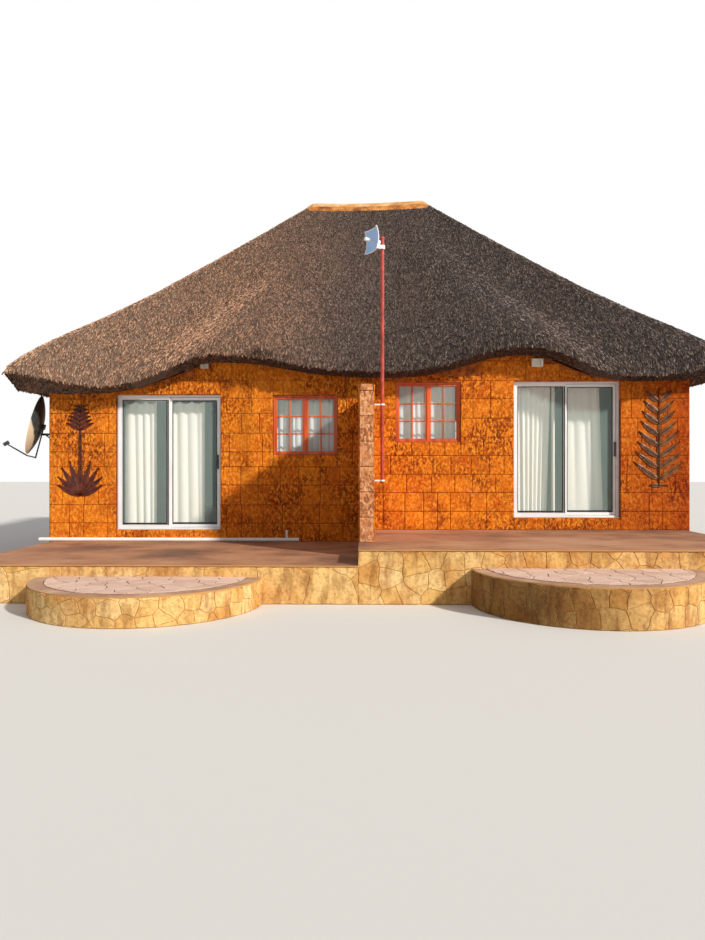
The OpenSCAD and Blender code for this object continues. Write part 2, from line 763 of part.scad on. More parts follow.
module antenna_feed() {
    color("white") at_antenna() {
        bar([-panel_out - feed_len, 0, 0], [-panel_out - panel_t - 4 * seat, 0, 0], 14);
        bar([-panel_out - feed_len - 5, 0, 0], [-panel_out - feed_len + 85, 0, 0], 24);
    }
}

// the satellite dish faces left and up beside the front corner
module at_dish() {
    translate([-half_w - dish_at[0], front + dish_at[1], dish_at[2]])
        rotate([0, 0, dish_turn[0]]) rotate([0, dish_turn[1], 0]) children();
}
bowl_r = 1050;
bowl_back = 50;
arm_z = -dish_r - 28;

module satellite_dish() {
    color("gray") at_dish()
        intersection() {
            translate([bowl_back - bowl_r, 0, 0]) difference() {
                sphere(r = bowl_r, $fn = 128);
                sphere(r = bowl_r - 4, $fn = 128);
            }
            translate([-160, 0, 0]) rotate([0, 90, 0]) cylinder(h = 300, r = dish_r, $fn = 96);
        }
}

// back plate, spine and knuckle behind the dish, and the two stays to its plate on the wall
module dish_bracket() {
    y = front + dish_at[1];
    z = dish_at[2] - dish_hold;
    color("dimgray") {
        at_dish() {
            bar([bowl_back + seat, 0, 0], [bowl_back + 40, 0, 0], 45);
            translate([bowl_back + 6, -14, arm_z - 14]) cube([20, 28, 30 - arm_z]);
        }
        bar([-half_w - dish_at[0] + 30, y, z], [-half_w - 4, y, z], 19);
        bar([-half_w - dish_at[0] + 90, y, z], [-half_w - 9, y, z - 190], 11);
        block([-half_w - 8, -half_w - seat], [y - 60, y + 60], [z - 240, z + 60]);
    }
}

// receiver arm under the rim and the receiver at its end
module dish_receiver() {
    color("dimgray") at_dish() {
        translate([0, 11, 0]) rotate([90, 0, 0]) linear_extrude(height = 22)
            polygon([[bowl_back + 6 - seat, arm_z - 11], [bowl_back + 6 - seat, arm_z + 11],
                [-62, arm_z + 11], [-412, arm_z + 121], [-424, arm_z + 103], [-70, arm_z - 11]]);
        bar([-452, 0, arm_z + 84], [-388, 0, arm_z + 150], 30);
    }
}

module door_lamps() {
    color("white") for (l = [lamp_left, lamp_right])
        translate([l[0] - l[2] / 2, front - l[4], l[1] - l[3] / 2])
            difference() {
                cube([l[2], l[4], l[3]]);
                translate([l[2] * 0.22, -1, l[3] * 0.22]) cube([l[2] * 0.56, l[4] * 0.4, l[3] * 0.56]);
            }
}

// wall reliefs: a leaf is a curved blade from its root to its tip
module blade(len, w, bend, t) {
    rotate(t) polygon(concat(
        [for (k = [0 : 12]) let (u = k / 12) [u * len, bend * u * u - w * sin(180 * pow(u, 0.7)) / 2 - 2]],
        [for (k = [12 : -1 : 0]) let (u = k / 12) [u * len, bend * u * u + w * sin(180 * pow(u, 0.7)) / 2 + 2]]));
}

module on_front(foot) {
    translate([foot[0], front, foot[1]]) rotate([90, 0, 0]) children();
}

module left_relief() {
    color("sienna") on_front(relief_left) linear_extrude(height = relief_t) {
        for (k = [0 : 8]) blade(400 + 190 * sin(22.5 * k), 92, (k - 4) * -14, 16 + 18.5 * k);
        translate([-24, 200]) square([48, 1250]);
        for (k = [0 : 5], s = [-1, 1])
            translate([0, 1060 + 72 * k]) blade(250 - 32 * k, 62, -30 * s, 90 - 56 * s);
        translate([-150, 0]) square([300, 55]);
    }
}

module right_relief() {
    color("saddlebrown") on_front(relief_right) linear_extrude(height = relief_t) {
        for (s = [-1, 1], k = [0 : 7])
            translate([0, 120 + 175 * k])
                blade(480 - 30 * k, 84, s * 50, s > 0 ? 30 : 150);
        translate([-22, 0]) square([44, 1500]);
        translate([0, 1500]) circle(r = 62);
        translate([-150, 0]) square([300, 55]);
    }
}

module drain_pipe() {
    y = front - pipe_r - seat;
    z = stoep_left + pipe_r;
    color("white") {
        bar([pipe_x[0], y, z], [pipe_x[2], y, z], pipe_r);
        translate([pipe_x[0], y, z]) sphere(r = pipe_r);
        bar([pipe_x[1], y, z], [pipe_x[1], y, z + 5 * pipe_r], pipe_r * 2 / 3);
    }
}

left_stoep();
right_stoep();
left_step();
right_step();
left_floor();
right_floor();
front_wall_left_end();
front_wall_left_door_head();
front_wall_left_middle();
front_wall_right_middle();
front_wall_right_door_head();
front_wall_right_end();
door_sills();
left_side_wall();
right_side_wall();
back_wall();
divider_wall();
rafters();
ridge_pole();
front_thatch();
right_thatch();
back_thatch();
left_thatch();
ridge_cap();
left_door_frame();
right_door_frame();
door_fixed_panels();
door_fixed_glass();
left_door_leaf();
left_door_leaf_glass();
left_door_handle();
right_door_leaf();
right_door_leaf_glass();
right_door_handle();
window_frames();
window_sashes();
window_glass();
door_curtains();
window_curtains();
curtain_rails();
antenna_mast();
mast_brackets();
antenna_panel();
antenna_radio();
antenna_feed();
satellite_dish();
dish_bracket();
dish_receiver();
door_lamps();
left_relief();
right_relief();
drain_pipe();
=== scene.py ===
import math
import random

import bpy
import numpy as np
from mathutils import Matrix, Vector


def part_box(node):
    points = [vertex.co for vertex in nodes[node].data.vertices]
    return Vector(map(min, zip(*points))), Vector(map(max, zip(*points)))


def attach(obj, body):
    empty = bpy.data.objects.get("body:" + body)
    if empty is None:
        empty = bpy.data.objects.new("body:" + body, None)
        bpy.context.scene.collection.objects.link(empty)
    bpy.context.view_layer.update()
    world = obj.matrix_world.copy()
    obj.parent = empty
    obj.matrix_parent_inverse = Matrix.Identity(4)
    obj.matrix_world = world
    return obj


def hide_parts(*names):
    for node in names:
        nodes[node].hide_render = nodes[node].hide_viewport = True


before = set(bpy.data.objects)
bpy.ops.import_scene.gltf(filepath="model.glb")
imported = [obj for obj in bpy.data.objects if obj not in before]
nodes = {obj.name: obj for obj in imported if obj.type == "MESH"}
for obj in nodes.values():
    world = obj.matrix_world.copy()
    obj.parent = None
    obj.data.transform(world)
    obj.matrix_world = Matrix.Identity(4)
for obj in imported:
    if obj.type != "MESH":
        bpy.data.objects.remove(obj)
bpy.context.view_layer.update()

# Camera, at the place the photograph was taken from: on the hut's centre line at eye height,
# level, and turned a little to the left.
bpy.ops.object.camera_add(location=(0, -15.2, 1.6), rotation=(math.radians(90), 0, math.radians(1.14)))
camera = bpy.context.object
camera.data.sensor_width = 36
camera.data.lens = 27.04
bpy.context.scene.camera = camera

# Stoeps: raised terraces of rubble masonry, topped with a brown floated screed and faced with
# split sandstone set nearly flush in brown mortar; large flags on the left, small ones right.


def linear(code):
    """An sRGB hex colour as linear RGBA."""
    parts = [int(code[i:i + 2], 16) / 255 for i in (1, 3, 5)]
    return [c / 12.92 if c <= 0.04045 else ((c + 0.055) / 1.055) ** 2.4 for c in parts] + [1]


def add(tree, kind, links=None, out=0, stops=(), **settings):
    """A shader node with its settings; gives the output that the next node reads.

    links maps an input to a number, a hex colour or another node's output, and stops are the
    (position, hex) marks of a colour ramp.
    """
    new = tree.nodes.new("ShaderNode" + kind)
    for key, value in settings.items():
        setattr(new, key, value)
    for key, value in (links or {}).items():
        if isinstance(value, bpy.types.NodeSocket):
            tree.links.new(value, new.inputs[key])
        else:
            new.inputs[key].default_value = linear(value) if isinstance(value, str) else value
    if stops:
        marks = new.color_ramp.elements
        while len(marks) < len(stops):
            marks.new(1)
        for mark, (place, code) in zip(marks, stops):
            mark.position, mark.color = place, linear(code)
    return new.outputs[out]


def new_material(name, **sockets):
    """A material with one Principled shader whose even values are set on its own sockets."""
    made = bpy.data.materials.new(name)
    made.use_nodes = True
    shader = made.node_tree.nodes["Principled BSDF"]
    for key, value in sockets.items():
        shader.inputs[key.replace("_", " ")].default_value = value
    return made, made.node_tree


def dress(material, tone, relief=None, depth=0):
    """Links a colour to a material's shader, and a relief that is depth metres deep."""
    tree = material.node_tree
    shader = tree.nodes["Principled BSDF"]
    tree.links.new(tone, shader.inputs["Base Color"])
    if depth:
        bump = add(tree, "Bump", {"Height": relief, "Distance": depth, "Strength": 1.0})
        tree.links.new(bump, shader.inputs["Normal"])


def paint(names, material):
    """Puts one material on CAD nodes."""
    for name in names:
        mesh = nodes[name].data
        mesh.materials.clear()
        mesh.materials.append(material)


def noise_at(tree, scale, detail, rough=0.5, stretch=(1, 1, 1), turn=(0, 0, 0)):
    """Noise in the piece's own metres; scale is in waves a metre."""
    place = add(tree, "TexCoord", out="Object")
    place = add(tree, "Mapping", {"Vector": place, "Rotation": turn})
    place = add(tree, "Mapping", {"Vector": place, "Scale": stretch})
    return add(tree, "TexNoise", {"Vector": place, "Scale": scale, "Detail": detail, "Roughness": rough})


def patched(tree, tone, code, pattern, start, full, most):
    """Lays a second colour over a tone in patches of noise; most, a grey, is how solid they get."""
    patches = add(tree, "ValToRGB", {"Fac": noise_at(tree, *pattern)},
                  stops=[(start, "#000000"), (full, most)])
    return add(tree, "Mix", {0: patches, 6: tone, 7: code}, 2, data_type="RGBA")


def topped(tree, upright, top, start=0.4, full=0.6):
    """One colour on upright faces and another on faces that look up."""
    normal = add(tree, "NewGeometry", out="Normal")
    looks_up = add(tree, "ValToRGB", {"Fac": add(tree, "SeparateXYZ", {"Vector": normal}, "Z")},
                   stops=[(start, "#000000"), (full, "#FFFFFF")])
    return add(tree, "Mix", {0: looks_up, 6: upright, 7: top}, 2, data_type="RGBA")


# floated screed: cement and river sand, trowelled, walked on and marked by long damp stains;
# its upright faces are the mortar that the facing stones are set in
MORTAR = "#BC8A4E"
screed, tree = new_material("floated_screed", Roughness=0.85, Specular_IOR_Level=0.3)
tone = add(tree, "ValToRGB", {"Fac": noise_at(tree, 0.9, 9, 0.62, (0.8, 1, 1))},
           stops=[(0.32, "#6C5040"), (0.44, "#96694E"), (0.54, "#B2805E"),
                  (0.66, "#BE9070"), (0.8, "#AA9080")])
tone = patched(tree, tone, "#7A5A46", (14, 8, 0.7), 0.45, 0.62, "#606060")
dress(screed, topped(tree, MORTAR, tone), noise_at(tree, 60, 5), 0.004)
paint(["left_stoep", "right_stoep"], screed)


def own_tone(tree, stops):
    """A colour for each stone, block or straw, by its own tone from 0 to 1."""
    tone = add(tree, "Attribute", out="Fac", attribute_name="tone")
    return add(tree, "ValToRGB", {"Fac": tone}, stops=stops)


def axis_place(tree, axis):
    """A point's place along an axis of the frame, in metres."""
    return add(tree, "SeparateXYZ", {"Vector": add(tree, "TexCoord", out="Object")}, axis)


def along_hut(tree, start, end, wander, pattern):
    """0 to 1 between two places on X, over a border that wanders by that many metres."""
    place = add(tree, "Math", {0: noise_at(tree, *pattern), 1: wander, 2: axis_place(tree, "X")},
                operation="MULTIPLY_ADD")
    return add(tree, "MapRange",
               {"Value": place, "From Min": start + wander / 2, "From Max": end + wander / 2})


def sandstone_facing(name, shade_and_stain=None):
    """Split sandstone, pale yellow with rusty patches and brown runs; the last argument is a span (from x, to
    x) over which it darkens towards the left, partly painted shade and partly a stain.
    """
    made, tree = new_material(name, Roughness=0.85, Specular_IOR_Level=0.25)
    tone = own_tone(tree, [(0.0, "#DDAE66"), (0.4, "#E6BC76"), (0.75, "#EECB8C"), (1.0, "#E0B26A")])
    tone = patched(tree, tone, "#C07C38", (1.9, 7, 0.62), 0.43, 0.6, "#D0D0D0")
    tone = patched(tree, tone, "#8A5828", (9, 7, 0.64, (1, 1, 0.25)), 0.48, 0.62, "#C4C4C4")
    tone = patched(tree, tone, "#7C5424", (24, 7, 0.65), 0.48, 0.6, "#A0A0A0")
    if shade_and_stain:
        # partly painted shade, partly a stain: darker towards the left end of the span
        dark = add(tree, "ValToRGB", {"Fac": along_hut(tree, *shade_and_stain, 1.5, (2.2, 6))},
                   stops=[(0.0, "#A89A88"), (0.45, "#C8BAA6"), (1.0, "#FFFFFF")])
        tone = add(tree, "Mix", {0: 1.0, 6: tone, 7: dark}, 2, data_type="RGBA", blend_type="MULTIPLY")
    dress(made, tone, noise_at(tree, 34, 8, 0.62), 0.008)
    return made


sandstone = sandstone_facing("split_sandstone")


SCATTER = 0.36  # how far a stone's middle strays, in stone sizes
BOND = 0.25  # how far every other row is shifted


def crazy_cells(width, height, size, seed):
    """Irregular stone outlines that fill a rectangle, as lists of (u, v) points."""
    chance = random.Random(seed)
    columns, rows = max(1, round(width / size)), max(1, round(height / (size * 0.8)))
    cell_w, cell_h = width / columns, height / rows
    seeds = [((i + 0.5 + chance.uniform(-SCATTER, SCATTER) + BOND * (j % 2)) * cell_w,
              (j + 0.5 + chance.uniform(-SCATTER, SCATTER)) * cell_h)
             for i in range(-1, columns + 1) for j in range(-1, rows + 1)]
    cells = []
    for a in seeds:
        outline = [(0, 0), (width, 0), (width, height), (0, height)]
        near = sorted(seeds, key=lambda s: (s[0] - a[0]) ** 2 + (s[1] - a[1]) ** 2)[1:16]
        for b in near:
            mid = ((a[0] + b[0]) / 2, (a[1] + b[1]) / 2)
            across = (b[0] - a[0], b[1] - a[1])
            side = [(p[0] - mid[0]) * across[0] + (p[1] - mid[1]) * across[1] for p in outline]
            kept = []
            for k, p in enumerate(outline):
                q, s, t = outline[k - 1], side[k], side[k - 1]
                if s * t < 0:
                    part = t / (t - s)
                    kept.append((q[0] + (p[0] - q[0]) * part, q[1] + (p[1] - q[1]) * part))
                if s <= 0:
                    kept.append(p)
            outline = kept
            if len(outline) < 3:
                break
        if len(outline) >= 3:
            cells.append(outline)
    return cells


def shrunk(outline, gap):
    """An outline drawn in by a joint's half width, about its own middle."""
    u = sum(p[0] for p in outline) / len(outline)
    v = sum(p[1] for p in outline) / len(outline)
    return [(p[0] + (u - p[0]) * min(0.5, gap / max(1e-6, math.hypot(p[0] - u, p[1] - v))),
             p[1] + (v - p[1]) * min(0.5, gap / max(1e-6, math.hypot(p[0] - u, p[1] - v))))
            for p in outline]


WAVER = 0.007


def wavering(outline):
    """An outline with points every 0.1 m, moved a little so that joints run as split stone does."""
    fine = []
    for k, p in enumerate(outline):
        q = outline[k - 1]
        parts = max(1, math.ceil(math.hypot(p[0] - q[0], p[1] - q[1]) / 0.1))
        fine += [(q[0] + (p[0] - q[0]) * j / parts, q[1] + (p[1] - q[1]) * j / parts) for j in range(parts)]
    return [(u + WAVER * math.sin(41 * u + 23 * v), max(0, v + WAVER * math.sin(37 * v - 29 * u + 1)))
            for u, v in fine]


def new_piece(name, mesh, material):
    """A new piece on the root body, with one material."""
    mesh.materials.append(material)
    made = bpy.data.objects.new(name, mesh)
    bpy.context.collection.objects.link(made)
    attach(made, "root")
    return made


def take_up(piece=None):
    """Leaves one piece selected and active, or none selected."""
    bpy.ops.object.select_all(action="DESELECT")
    if piece:
        piece.select_set(True)
        bpy.context.view_layer.objects.active = piece


def lay_stones(name, cells, place, thick, gap, material, seed):
    """Flat stones with worn edges; place turns (u, v, out) into a point of the frame."""
    chance = random.Random(seed)
    points, faces, tones = [], [], []
    for outline in cells:
        area = abs(sum(outline[k - 1][0] * p[1] - p[0] * outline[k - 1][1]
                       for k, p in enumerate(outline))) / 2
        if area < gap * gap * 60:
            continue
        outline = wavering(outline)
        middle = (sum(p[0] for p in outline) / len(outline), sum(p[1] for p in outline) / len(outline))
        count, start = len(outline), len(points)
        tone = chance.random()
        lift = chance.uniform(0, thick * 0.3)
        for drawn_in, out in ((gap, -0.002), (gap * 1.2, thick * 0.7), (gap * 2.4, thick)):
            points += [place(u, v, out + (lift if out > 0 else 0)) for u, v in shrunk(outline, drawn_in)]
        points += [place((u + middle[0]) / 2, (v + middle[1]) / 2, thick + lift) for u, v in outline]
        points += [place(*middle, thick + lift), place(*middle, -0.002)]
        tones += [tone] * (4 * count + 2)
        for k in range(count):
            for ring in range(3):
                a, b = start + ring * count + k, start + ring * count + (k + 1) % count
                faces.append((a, b, b + count, a + count))
            faces.append((b + count, start + 4 * count, a + count))
            faces.append((start + (k + 1) % count, start + k, start + 4 * count + 1))
    mesh = bpy.data.meshes.new(name)
    mesh.from_pydata(points, [], faces)
    mesh.attributes.new("tone", "FLOAT", "POINT").data.foreach_set("value", tones)
    return new_piece(name, mesh, material)


STONE_THICK = 0.007
STONE_JOINT = 0.0034
FLAG_SIZE = {"left": 0.62, "right": 0.25}
SIDE_FLAG_SIZE = 0.34
LIP_DEEP, LIP_HIGH, LIP_OUT = 0.05, 0.02, 0.021
for side, sign in (("left", -1), ("right", 1)):
    low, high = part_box(side + "_stoep")
    width, depth, stone_top = high[0] - low[0], high[1] - low[1], high[2] - LIP_HIGH - 0.002
    stone = lay_stones(side + "_stoep_face_stones", crazy_cells(width, stone_top, FLAG_SIZE[side], 11 + sign),
                       lambda u, v, out: (low[0] + u, low[1] - out, v),
                       STONE_THICK, STONE_JOINT, sandstone, 5 + sign)
    place = ((lambda u, v, out: (low[0] - out, high[1] - u, v)) if sign < 0
             else (lambda u, v, out: (high[0] + out, low[1] + u, v)))
    stone = lay_stones(side + "_stoep_side_stones", crazy_cells(depth, stone_top, SIDE_FLAG_SIZE, 21 + sign),
                       place, STONE_THICK, STONE_JOINT, sandstone, 15 + sign)
    # nosing of the screed, a rounded lip that runs over the stones
    take_up()
    bpy.ops.mesh.primitive_cube_add(size=1)
    lip = bpy.context.object
    lip.name = side + "_stoep_lip"
    lip.dimensions = (width, LIP_DEEP, LIP_HIGH)
    lip.location = (low[0] + width / 2, low[1] - LIP_OUT + LIP_DEEP / 2, high[2] + 0.0005 - LIP_HIGH / 2)
    bpy.ops.object.transform_apply(location=True, rotation=True, scale=True)
    bevel = lip.modifiers.new("round", "BEVEL")
    bevel.width, bevel.segments = 0.008, 3
    bpy.ops.object.modifier_apply(modifier="round")
    lip.data.materials.append(screed)
    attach(lip, "root")

# Half-round steps: masonry drums with a plain cement rim and an inlay of pinkish flagstones
# in crazy bond, set flush; their curved fronts have the same yellow facing as the stoeps.
cement_rim, tree = new_material("cement_rim", Roughness=0.85)
tone = add(tree, "ValToRGB", {"Fac": noise_at(tree, 2.2, 8, 0.62)},
           stops=[(0.32, "#94705A"), (0.5, "#B48C70"), (0.7, "#CCA88C")])
dress(cement_rim, topped(tree, MORTAR, tone), noise_at(tree, 80, 5), 0.004)
paint(["left_step", "right_step"], cement_rim)

flagstone, tree = new_material("pink_flagstone", Roughness=0.8)
tone = own_tone(tree, [(0.0, "#D6B29C"), (0.35, "#DEBCA8"), (0.7, "#E3C3B0"), (1.0, "#D8B4A0")])
tone = patched(tree, tone, "#A8826C", (4, 8, 0.65, (0.5, 1, 1)), 0.46, 0.66, "#A8A8A8")
dress(flagstone, tone, noise_at(tree, 45, 6), 0.005)


def mottled(name, stops, pattern, relief=None, depth=0, **sockets):
    """A material of one colour that drifts a little; pattern and relief are noise_at's values."""
    made, tree = new_material(name, **sockets)
    dress(made, add(tree, "ValToRGB", {"Fac": noise_at(tree, *pattern)}, stops=stops),
          noise_at(tree, *relief) if relief else None, depth)
    return made


grout = mottled("brown_grout", [(0.3, "#5C4638"), (0.7, "#7E6452")], (30, 5),
                Roughness=0.95, Specular_IOR_Level=0.1)

RIM = 0.165
STEP_STONE, INLAY_STONE = 0.215, 0.27
INLAY_THICK, INLAY_JOINT = 0.006, 0.0055
facings = {"left": sandstone, "right": sandstone_facing("shaded_and_stained_sandstone", (1.9, 3.3))}
for side in ("left", "right"):
    low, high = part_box(side + "_step")
    cx, cy, radius = (low[0] + high[0]) / 2, high[1], (high[0] - low[0]) / 2
    inlay = radius - RIM
    stone = lay_stones(
        side + "_step_face_stones",
        crazy_cells(math.pi * radius, high[2] - 0.014, STEP_STONE, 31 + len(side)),
        lambda u, v, out: (cx - (radius + out) * math.cos(u / radius),
                           cy - (radius + out) * math.sin(u / radius), v),
        STONE_THICK, STONE_JOINT, facings[side], 37)
    # the grout that the flagstones are bedded in, a half disc
    take_up()
    bpy.ops.mesh.primitive_cylinder_add(vertices=96, radius=inlay + 0.002, depth=0.003,
                                        location=(cx, cy, high[2] + 0.0005))
    bed = bpy.context.object
    bed.name = side + "_step_grout"
    bpy.ops.object.transform_apply(location=True, rotation=True, scale=True)
    bpy.ops.object.mode_set(mode="EDIT")
    bpy.ops.mesh.select_all(action="SELECT")
    bpy.ops.mesh.bisect(plane_co=(cx, cy - 0.001, 0), plane_no=(0, 1, 0), use_fill=True, clear_outer=True)
    bpy.ops.object.mode_set(mode="OBJECT")
    bed.data.materials.append(grout)
    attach(bed, "root")
    # stones that cross the rim are trimmed back to it
    cells = []
    for outline in crazy_cells(2 * radius, radius, INLAY_STONE, 41 + len(side)):
        reach = [math.hypot(u - radius, v) for u, v in outline]
        if min(reach) < inlay:
            keeps = [min(1, inlay / max(r, 1e-6)) for r in reach]
            cells.append([(radius + (u - radius) * keep, max(0.004, v * keep))
                          for (u, v), keep in zip(outline, keeps)][::-1])
    stone = lay_stones(side + "_step_inlay", cells,
                       lambda u, v, out: (cx - radius + u, cy - v, high[2] + out),
                       INLAY_THICK, INLAY_JOINT, flagstone, 43)

# Indoor floors and door sills: cement laid over the fill, trowelled with steel and waxed to a
# dull shine indoors; the sills under the doors are left rough, as the rims of the steps are.
floor_screed = mottled("trowelled_floor", [(0.3, "#7C6654"), (0.7, "#9C826C")], (1.5, 5), (30, 4), 0.002,
                       Roughness=0.5)
paint(["left_floor", "right_floor"], floor_screed)
paint(["door_sills"], cement_rim)

# Walls: block masonry, plastered pale inside, behind an outer cladding of rock-faced cement
# blocks dyed ochre, in courses of about 0.3 m with uneven lengths and thin dark joints.
COURSE = 0.298
JOINT = 0.0085
PLASTER_FROM = 0.22  # in from the walls' outer faces
FILL_FROM = 2.72  # the wall tops above it are plain dyed mortar, cut to the poles
wall_nodes = [name for name in nodes if name.startswith("front_wall") or name in (
    "left_side_wall", "right_side_wall", "back_wall", "divider_wall")]
wall_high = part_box("back_wall")[1]
half_w, back_y = wall_high[0], wall_high[1]
front_y = -back_y

wall_body, tree = new_material("ochre_mortar_and_plaster", Roughness=0.9)
outside = add(tree, "ValToRGB", {"Fac": noise_at(tree, 8, 5)}, stops=[(0.3, "#5C2A0E"), (0.7, "#8A421A")])
inside = add(tree, "ValToRGB", {"Fac": noise_at(tree, 2, 4)}, stops=[(0.3, "#D9D2C0"), (0.7, "#EAE4D4")])
filled = add(tree, "ValToRGB", {"Fac": noise_at(tree, 9, 8, 0.65)},
             stops=[(0.4, "#7A3A12"), (0.5, "#B8601E"), (0.62, "#CC7428")])
indoors = 1
for axis, outer in (("X", half_w), ("Y", back_y)):
    off_centre = add(tree, "Math", {0: axis_place(tree, axis)}, operation="ABSOLUTE")
    within = add(tree, "Math", {0: off_centre, 1: outer - PLASTER_FROM}, operation="LESS_THAN")
    indoors = add(tree, "Math", {0: within, 1: indoors}, operation="MULTIPLY")
high_up = add(tree, "Math", {0: axis_place(tree, "Z"), 1: FILL_FROM}, operation="GREATER_THAN")
outside = add(tree, "Mix", {0: high_up, 6: outside, 7: filled}, 2, data_type="RGBA")
dress(wall_body, add(tree, "Mix", {0: indoors, 6: outside, 7: inside}, 2, data_type="RGBA"),
      noise_at(tree, 24, 8, 0.65), 0.012)
paint(wall_nodes, wall_body)


def hammered_cement(name, tones, worn_tone, pit_shade_tone, highlight_tone):
    """Dyed cement with a hammered face: chisel marks 1 to 4 cm long, crowded in patches and painted dark as
    the shade in their pits, with light flecks painted as highlights on the chips.
    """
    made, tree = new_material(name, Roughness=0.8, Specular_IOR_Level=0.1)
    tone = patched(tree, own_tone(tree, tones), worn_tone, (2.4, 9, 0.72), 0.45, 0.6, "#C8C8C8")
    # painted highlights: light flecks where the chips catch the light
    tone = patched(tree, tone, highlight_tone, (26, 7, 0.65, (1, 1, 0.7)), 0.48, 0.58, "#C8C8C8")
    # painted shade: the chisel marks darkened as the shade in their pits
    marks = add(tree, "ValToRGB", {"Fac": noise_at(tree, 36, 6, 0.66, (1, 1, 0.55))},
                stops=[(0.46, "#000000"), (0.55, "#F4F4F4")])
    crowd = add(tree, "ValToRGB", {"Fac": noise_at(tree, 1.6, 8, 0.66)},
                stops=[(0.38, "#383838"), (0.58, "#FFFFFF")])
    marks = add(tree, "Mix", {0: 1.0, 6: marks, 7: crowd}, 2, data_type="RGBA", blend_type="MULTIPLY")
    tone = add(tree, "Mix", {0: marks, 6: tone, 7: pit_shade_tone}, 2, data_type="RGBA")
    # redder and darker towards the right end of the hut
    redder = add(tree, "ValToRGB", {"Fac": along_hut(tree, 3.4, 5.2, 1.6, (1.1, 5))},
                 stops=[(0.0, "#FFFFFF"), (1.0, "#C09488")])
    tone = add(tree, "Mix", {0: 1.0, 6: tone, 7: redder}, 2, data_type="RGBA", blend_type="MULTIPLY")
    dress(made, tone, noise_at(tree, 24, 9, 0.7), 0.016)
    return made


ochre_block = hammered_cement("rock_faced_ochre_block",
                              [(0.0, "#D86C1A"), (0.4, "#E07718"), (0.8, "#EA8420"), (1.0, "#DC721E")],
                              "#B4480E", "#74300E", "#FFAC3A")
end_block = hammered_cement("weathered_end_block",
                            [(0.0, "#D08A58"), (0.5, "#DC9660"), (1.0, "#D48E5C")],
                            "#BC7040", "#8A5030", "#F2C8A0")


def lay_copies(name, kinds, frames, pick, tones, material):
    """One joined, flat-shaded mesh of copies of a few modelled pieces, each with its own tone."""
    points, corners, starts, all_tones = [], [], [], []
    offset = loops_before = 0
    for number, kind in enumerate(kinds):
        chosen = np.flatnonzero(pick == number)
        if not len(chosen):
            continue
        mesh = kind.data
        own = np.empty(len(mesh.vertices) * 3)
        mesh.vertices.foreach_get("co", own)
        own = np.c_[own.reshape(-1, 3), np.ones(len(mesh.vertices))]
        turned = np.einsum("kij,vj->kvi", frames[chosen][:, :3], own)
        loop = np.empty(len(mesh.loops), dtype=np.int64)
        mesh.loops.foreach_get("vertex_index", loop)
        first = np.empty(len(mesh.polygons), dtype=np.int64)
        mesh.polygons.foreach_get("loop_start", first)
        steps = np.arange(len(chosen))[:, None]
        points.append(turned.reshape(-1, 3))
        corners.append((loop[None] + steps * len(own) + offset).ravel())
        starts.append((first[None] + steps * len(loop) + loops_before).ravel())
        all_tones.append(np.repeat(tones[chosen], len(own)))
        offset += len(own) * len(chosen)
        loops_before += len(loop) * len(chosen)
    points, corners, starts = np.concatenate(points), np.concatenate(corners), np.concatenate(starts)
    mesh = bpy.data.meshes.new(name)
    mesh.vertices.add(len(points))
    mesh.vertices.foreach_set("co", points.astype(np.float32).ravel())
    mesh.loops.add(len(corners))
    mesh.loops.foreach_set("vertex_index", corners.astype(np.int32))
    mesh.polygons.add(len(starts))
    mesh.polygons.foreach_set("loop_start", starts.astype(np.int32))
    mesh.update(calc_edges=True)
    mesh.shade_flat()
    mesh.attributes.new("tone", "FLOAT", "POINT").data.foreach_set(
        "value", np.concatenate(all_tones).astype(np.float32))
    return new_piece(name, mesh, material)


def drop(objects):
    """Removes pattern pieces once their copies are laid."""
    for one in objects:
        bpy.data.objects.remove(one)


# rock-faced block patterns: one unit wide and high, facing -Y, with a narrow arris all round
BLOCK_KINDS = 7
ARRIS_X, ARRIS_Z = 0.462, 0.468
EDGE_OUT, FACE_OUT, HAMMERED = 0.55, 0.85, 0.7
block_kinds = []
for number in range(BLOCK_KINDS):
    take_up()
    bpy.ops.mesh.primitive_grid_add(x_subdivisions=7, y_subdivisions=6, size=1)
    kind = bpy.context.object
    kind.rotation_euler = (math.radians(90), 0, 0)
    bpy.ops.object.transform_apply(location=False, rotation=True, scale=False)
    inner = kind.vertex_groups.new(name="inner")
    for v in kind.data.vertices:
        rim = max(abs(v.co.x), abs(v.co.z)) > 0.499
        if not rim and abs(v.co.x) > 0.34:
            v.co.x = math.copysign(ARRIS_X, v.co.x)
        if not rim and abs(v.co.z) > 0.32:
            v.co.z = math.copysign(ARRIS_Z, v.co.z)
        inner.add([v.index], 0.0 if rim else 1.0, "REPLACE")
        v.co.y = -EDGE_OUT if rim else -FACE_OUT
    rough = bpy.data.textures.new(f"hammer_marks_{number}", "CLOUDS")
    rough.noise_scale = 0.22
    rough.noise_depth = 2
    knock = kind.modifiers.new("hammer", "DISPLACE")
    knock.texture, knock.vertex_group, knock.strength = rough, "inner", -HAMMERED
    knock.direction, knock.mid_level = "Y", 0.5
    knock.texture_coords = "OBJECT"
    bpy.ops.object.empty_add(location=(number * 3.1, 0, number * 1.7))
    shift = bpy.context.object
    knock.texture_coords_object = shift
    take_up(kind)
    bpy.ops.object.modifier_apply(modifier="hammer")
    bpy.data.objects.remove(shift)
    bpy.ops.object.mode_set(mode="EDIT")
    bpy.ops.mesh.select_all(action="SELECT")
    bpy.ops.mesh.region_to_loop()
    bpy.ops.mesh.extrude_region_move(TRANSFORM_OT_translate={"value": (0, 0.7, 0)})
    bpy.ops.mesh.edge_face_add()
    bpy.ops.object.mode_set(mode="OBJECT")
    block_kinds.append(kind)


# what an opening leaves of a block is laid down to these sizes, and narrower strips go to the
# next part of the block
LEAST_WIDE, LEAST_HIGH = 0.018, 0.03


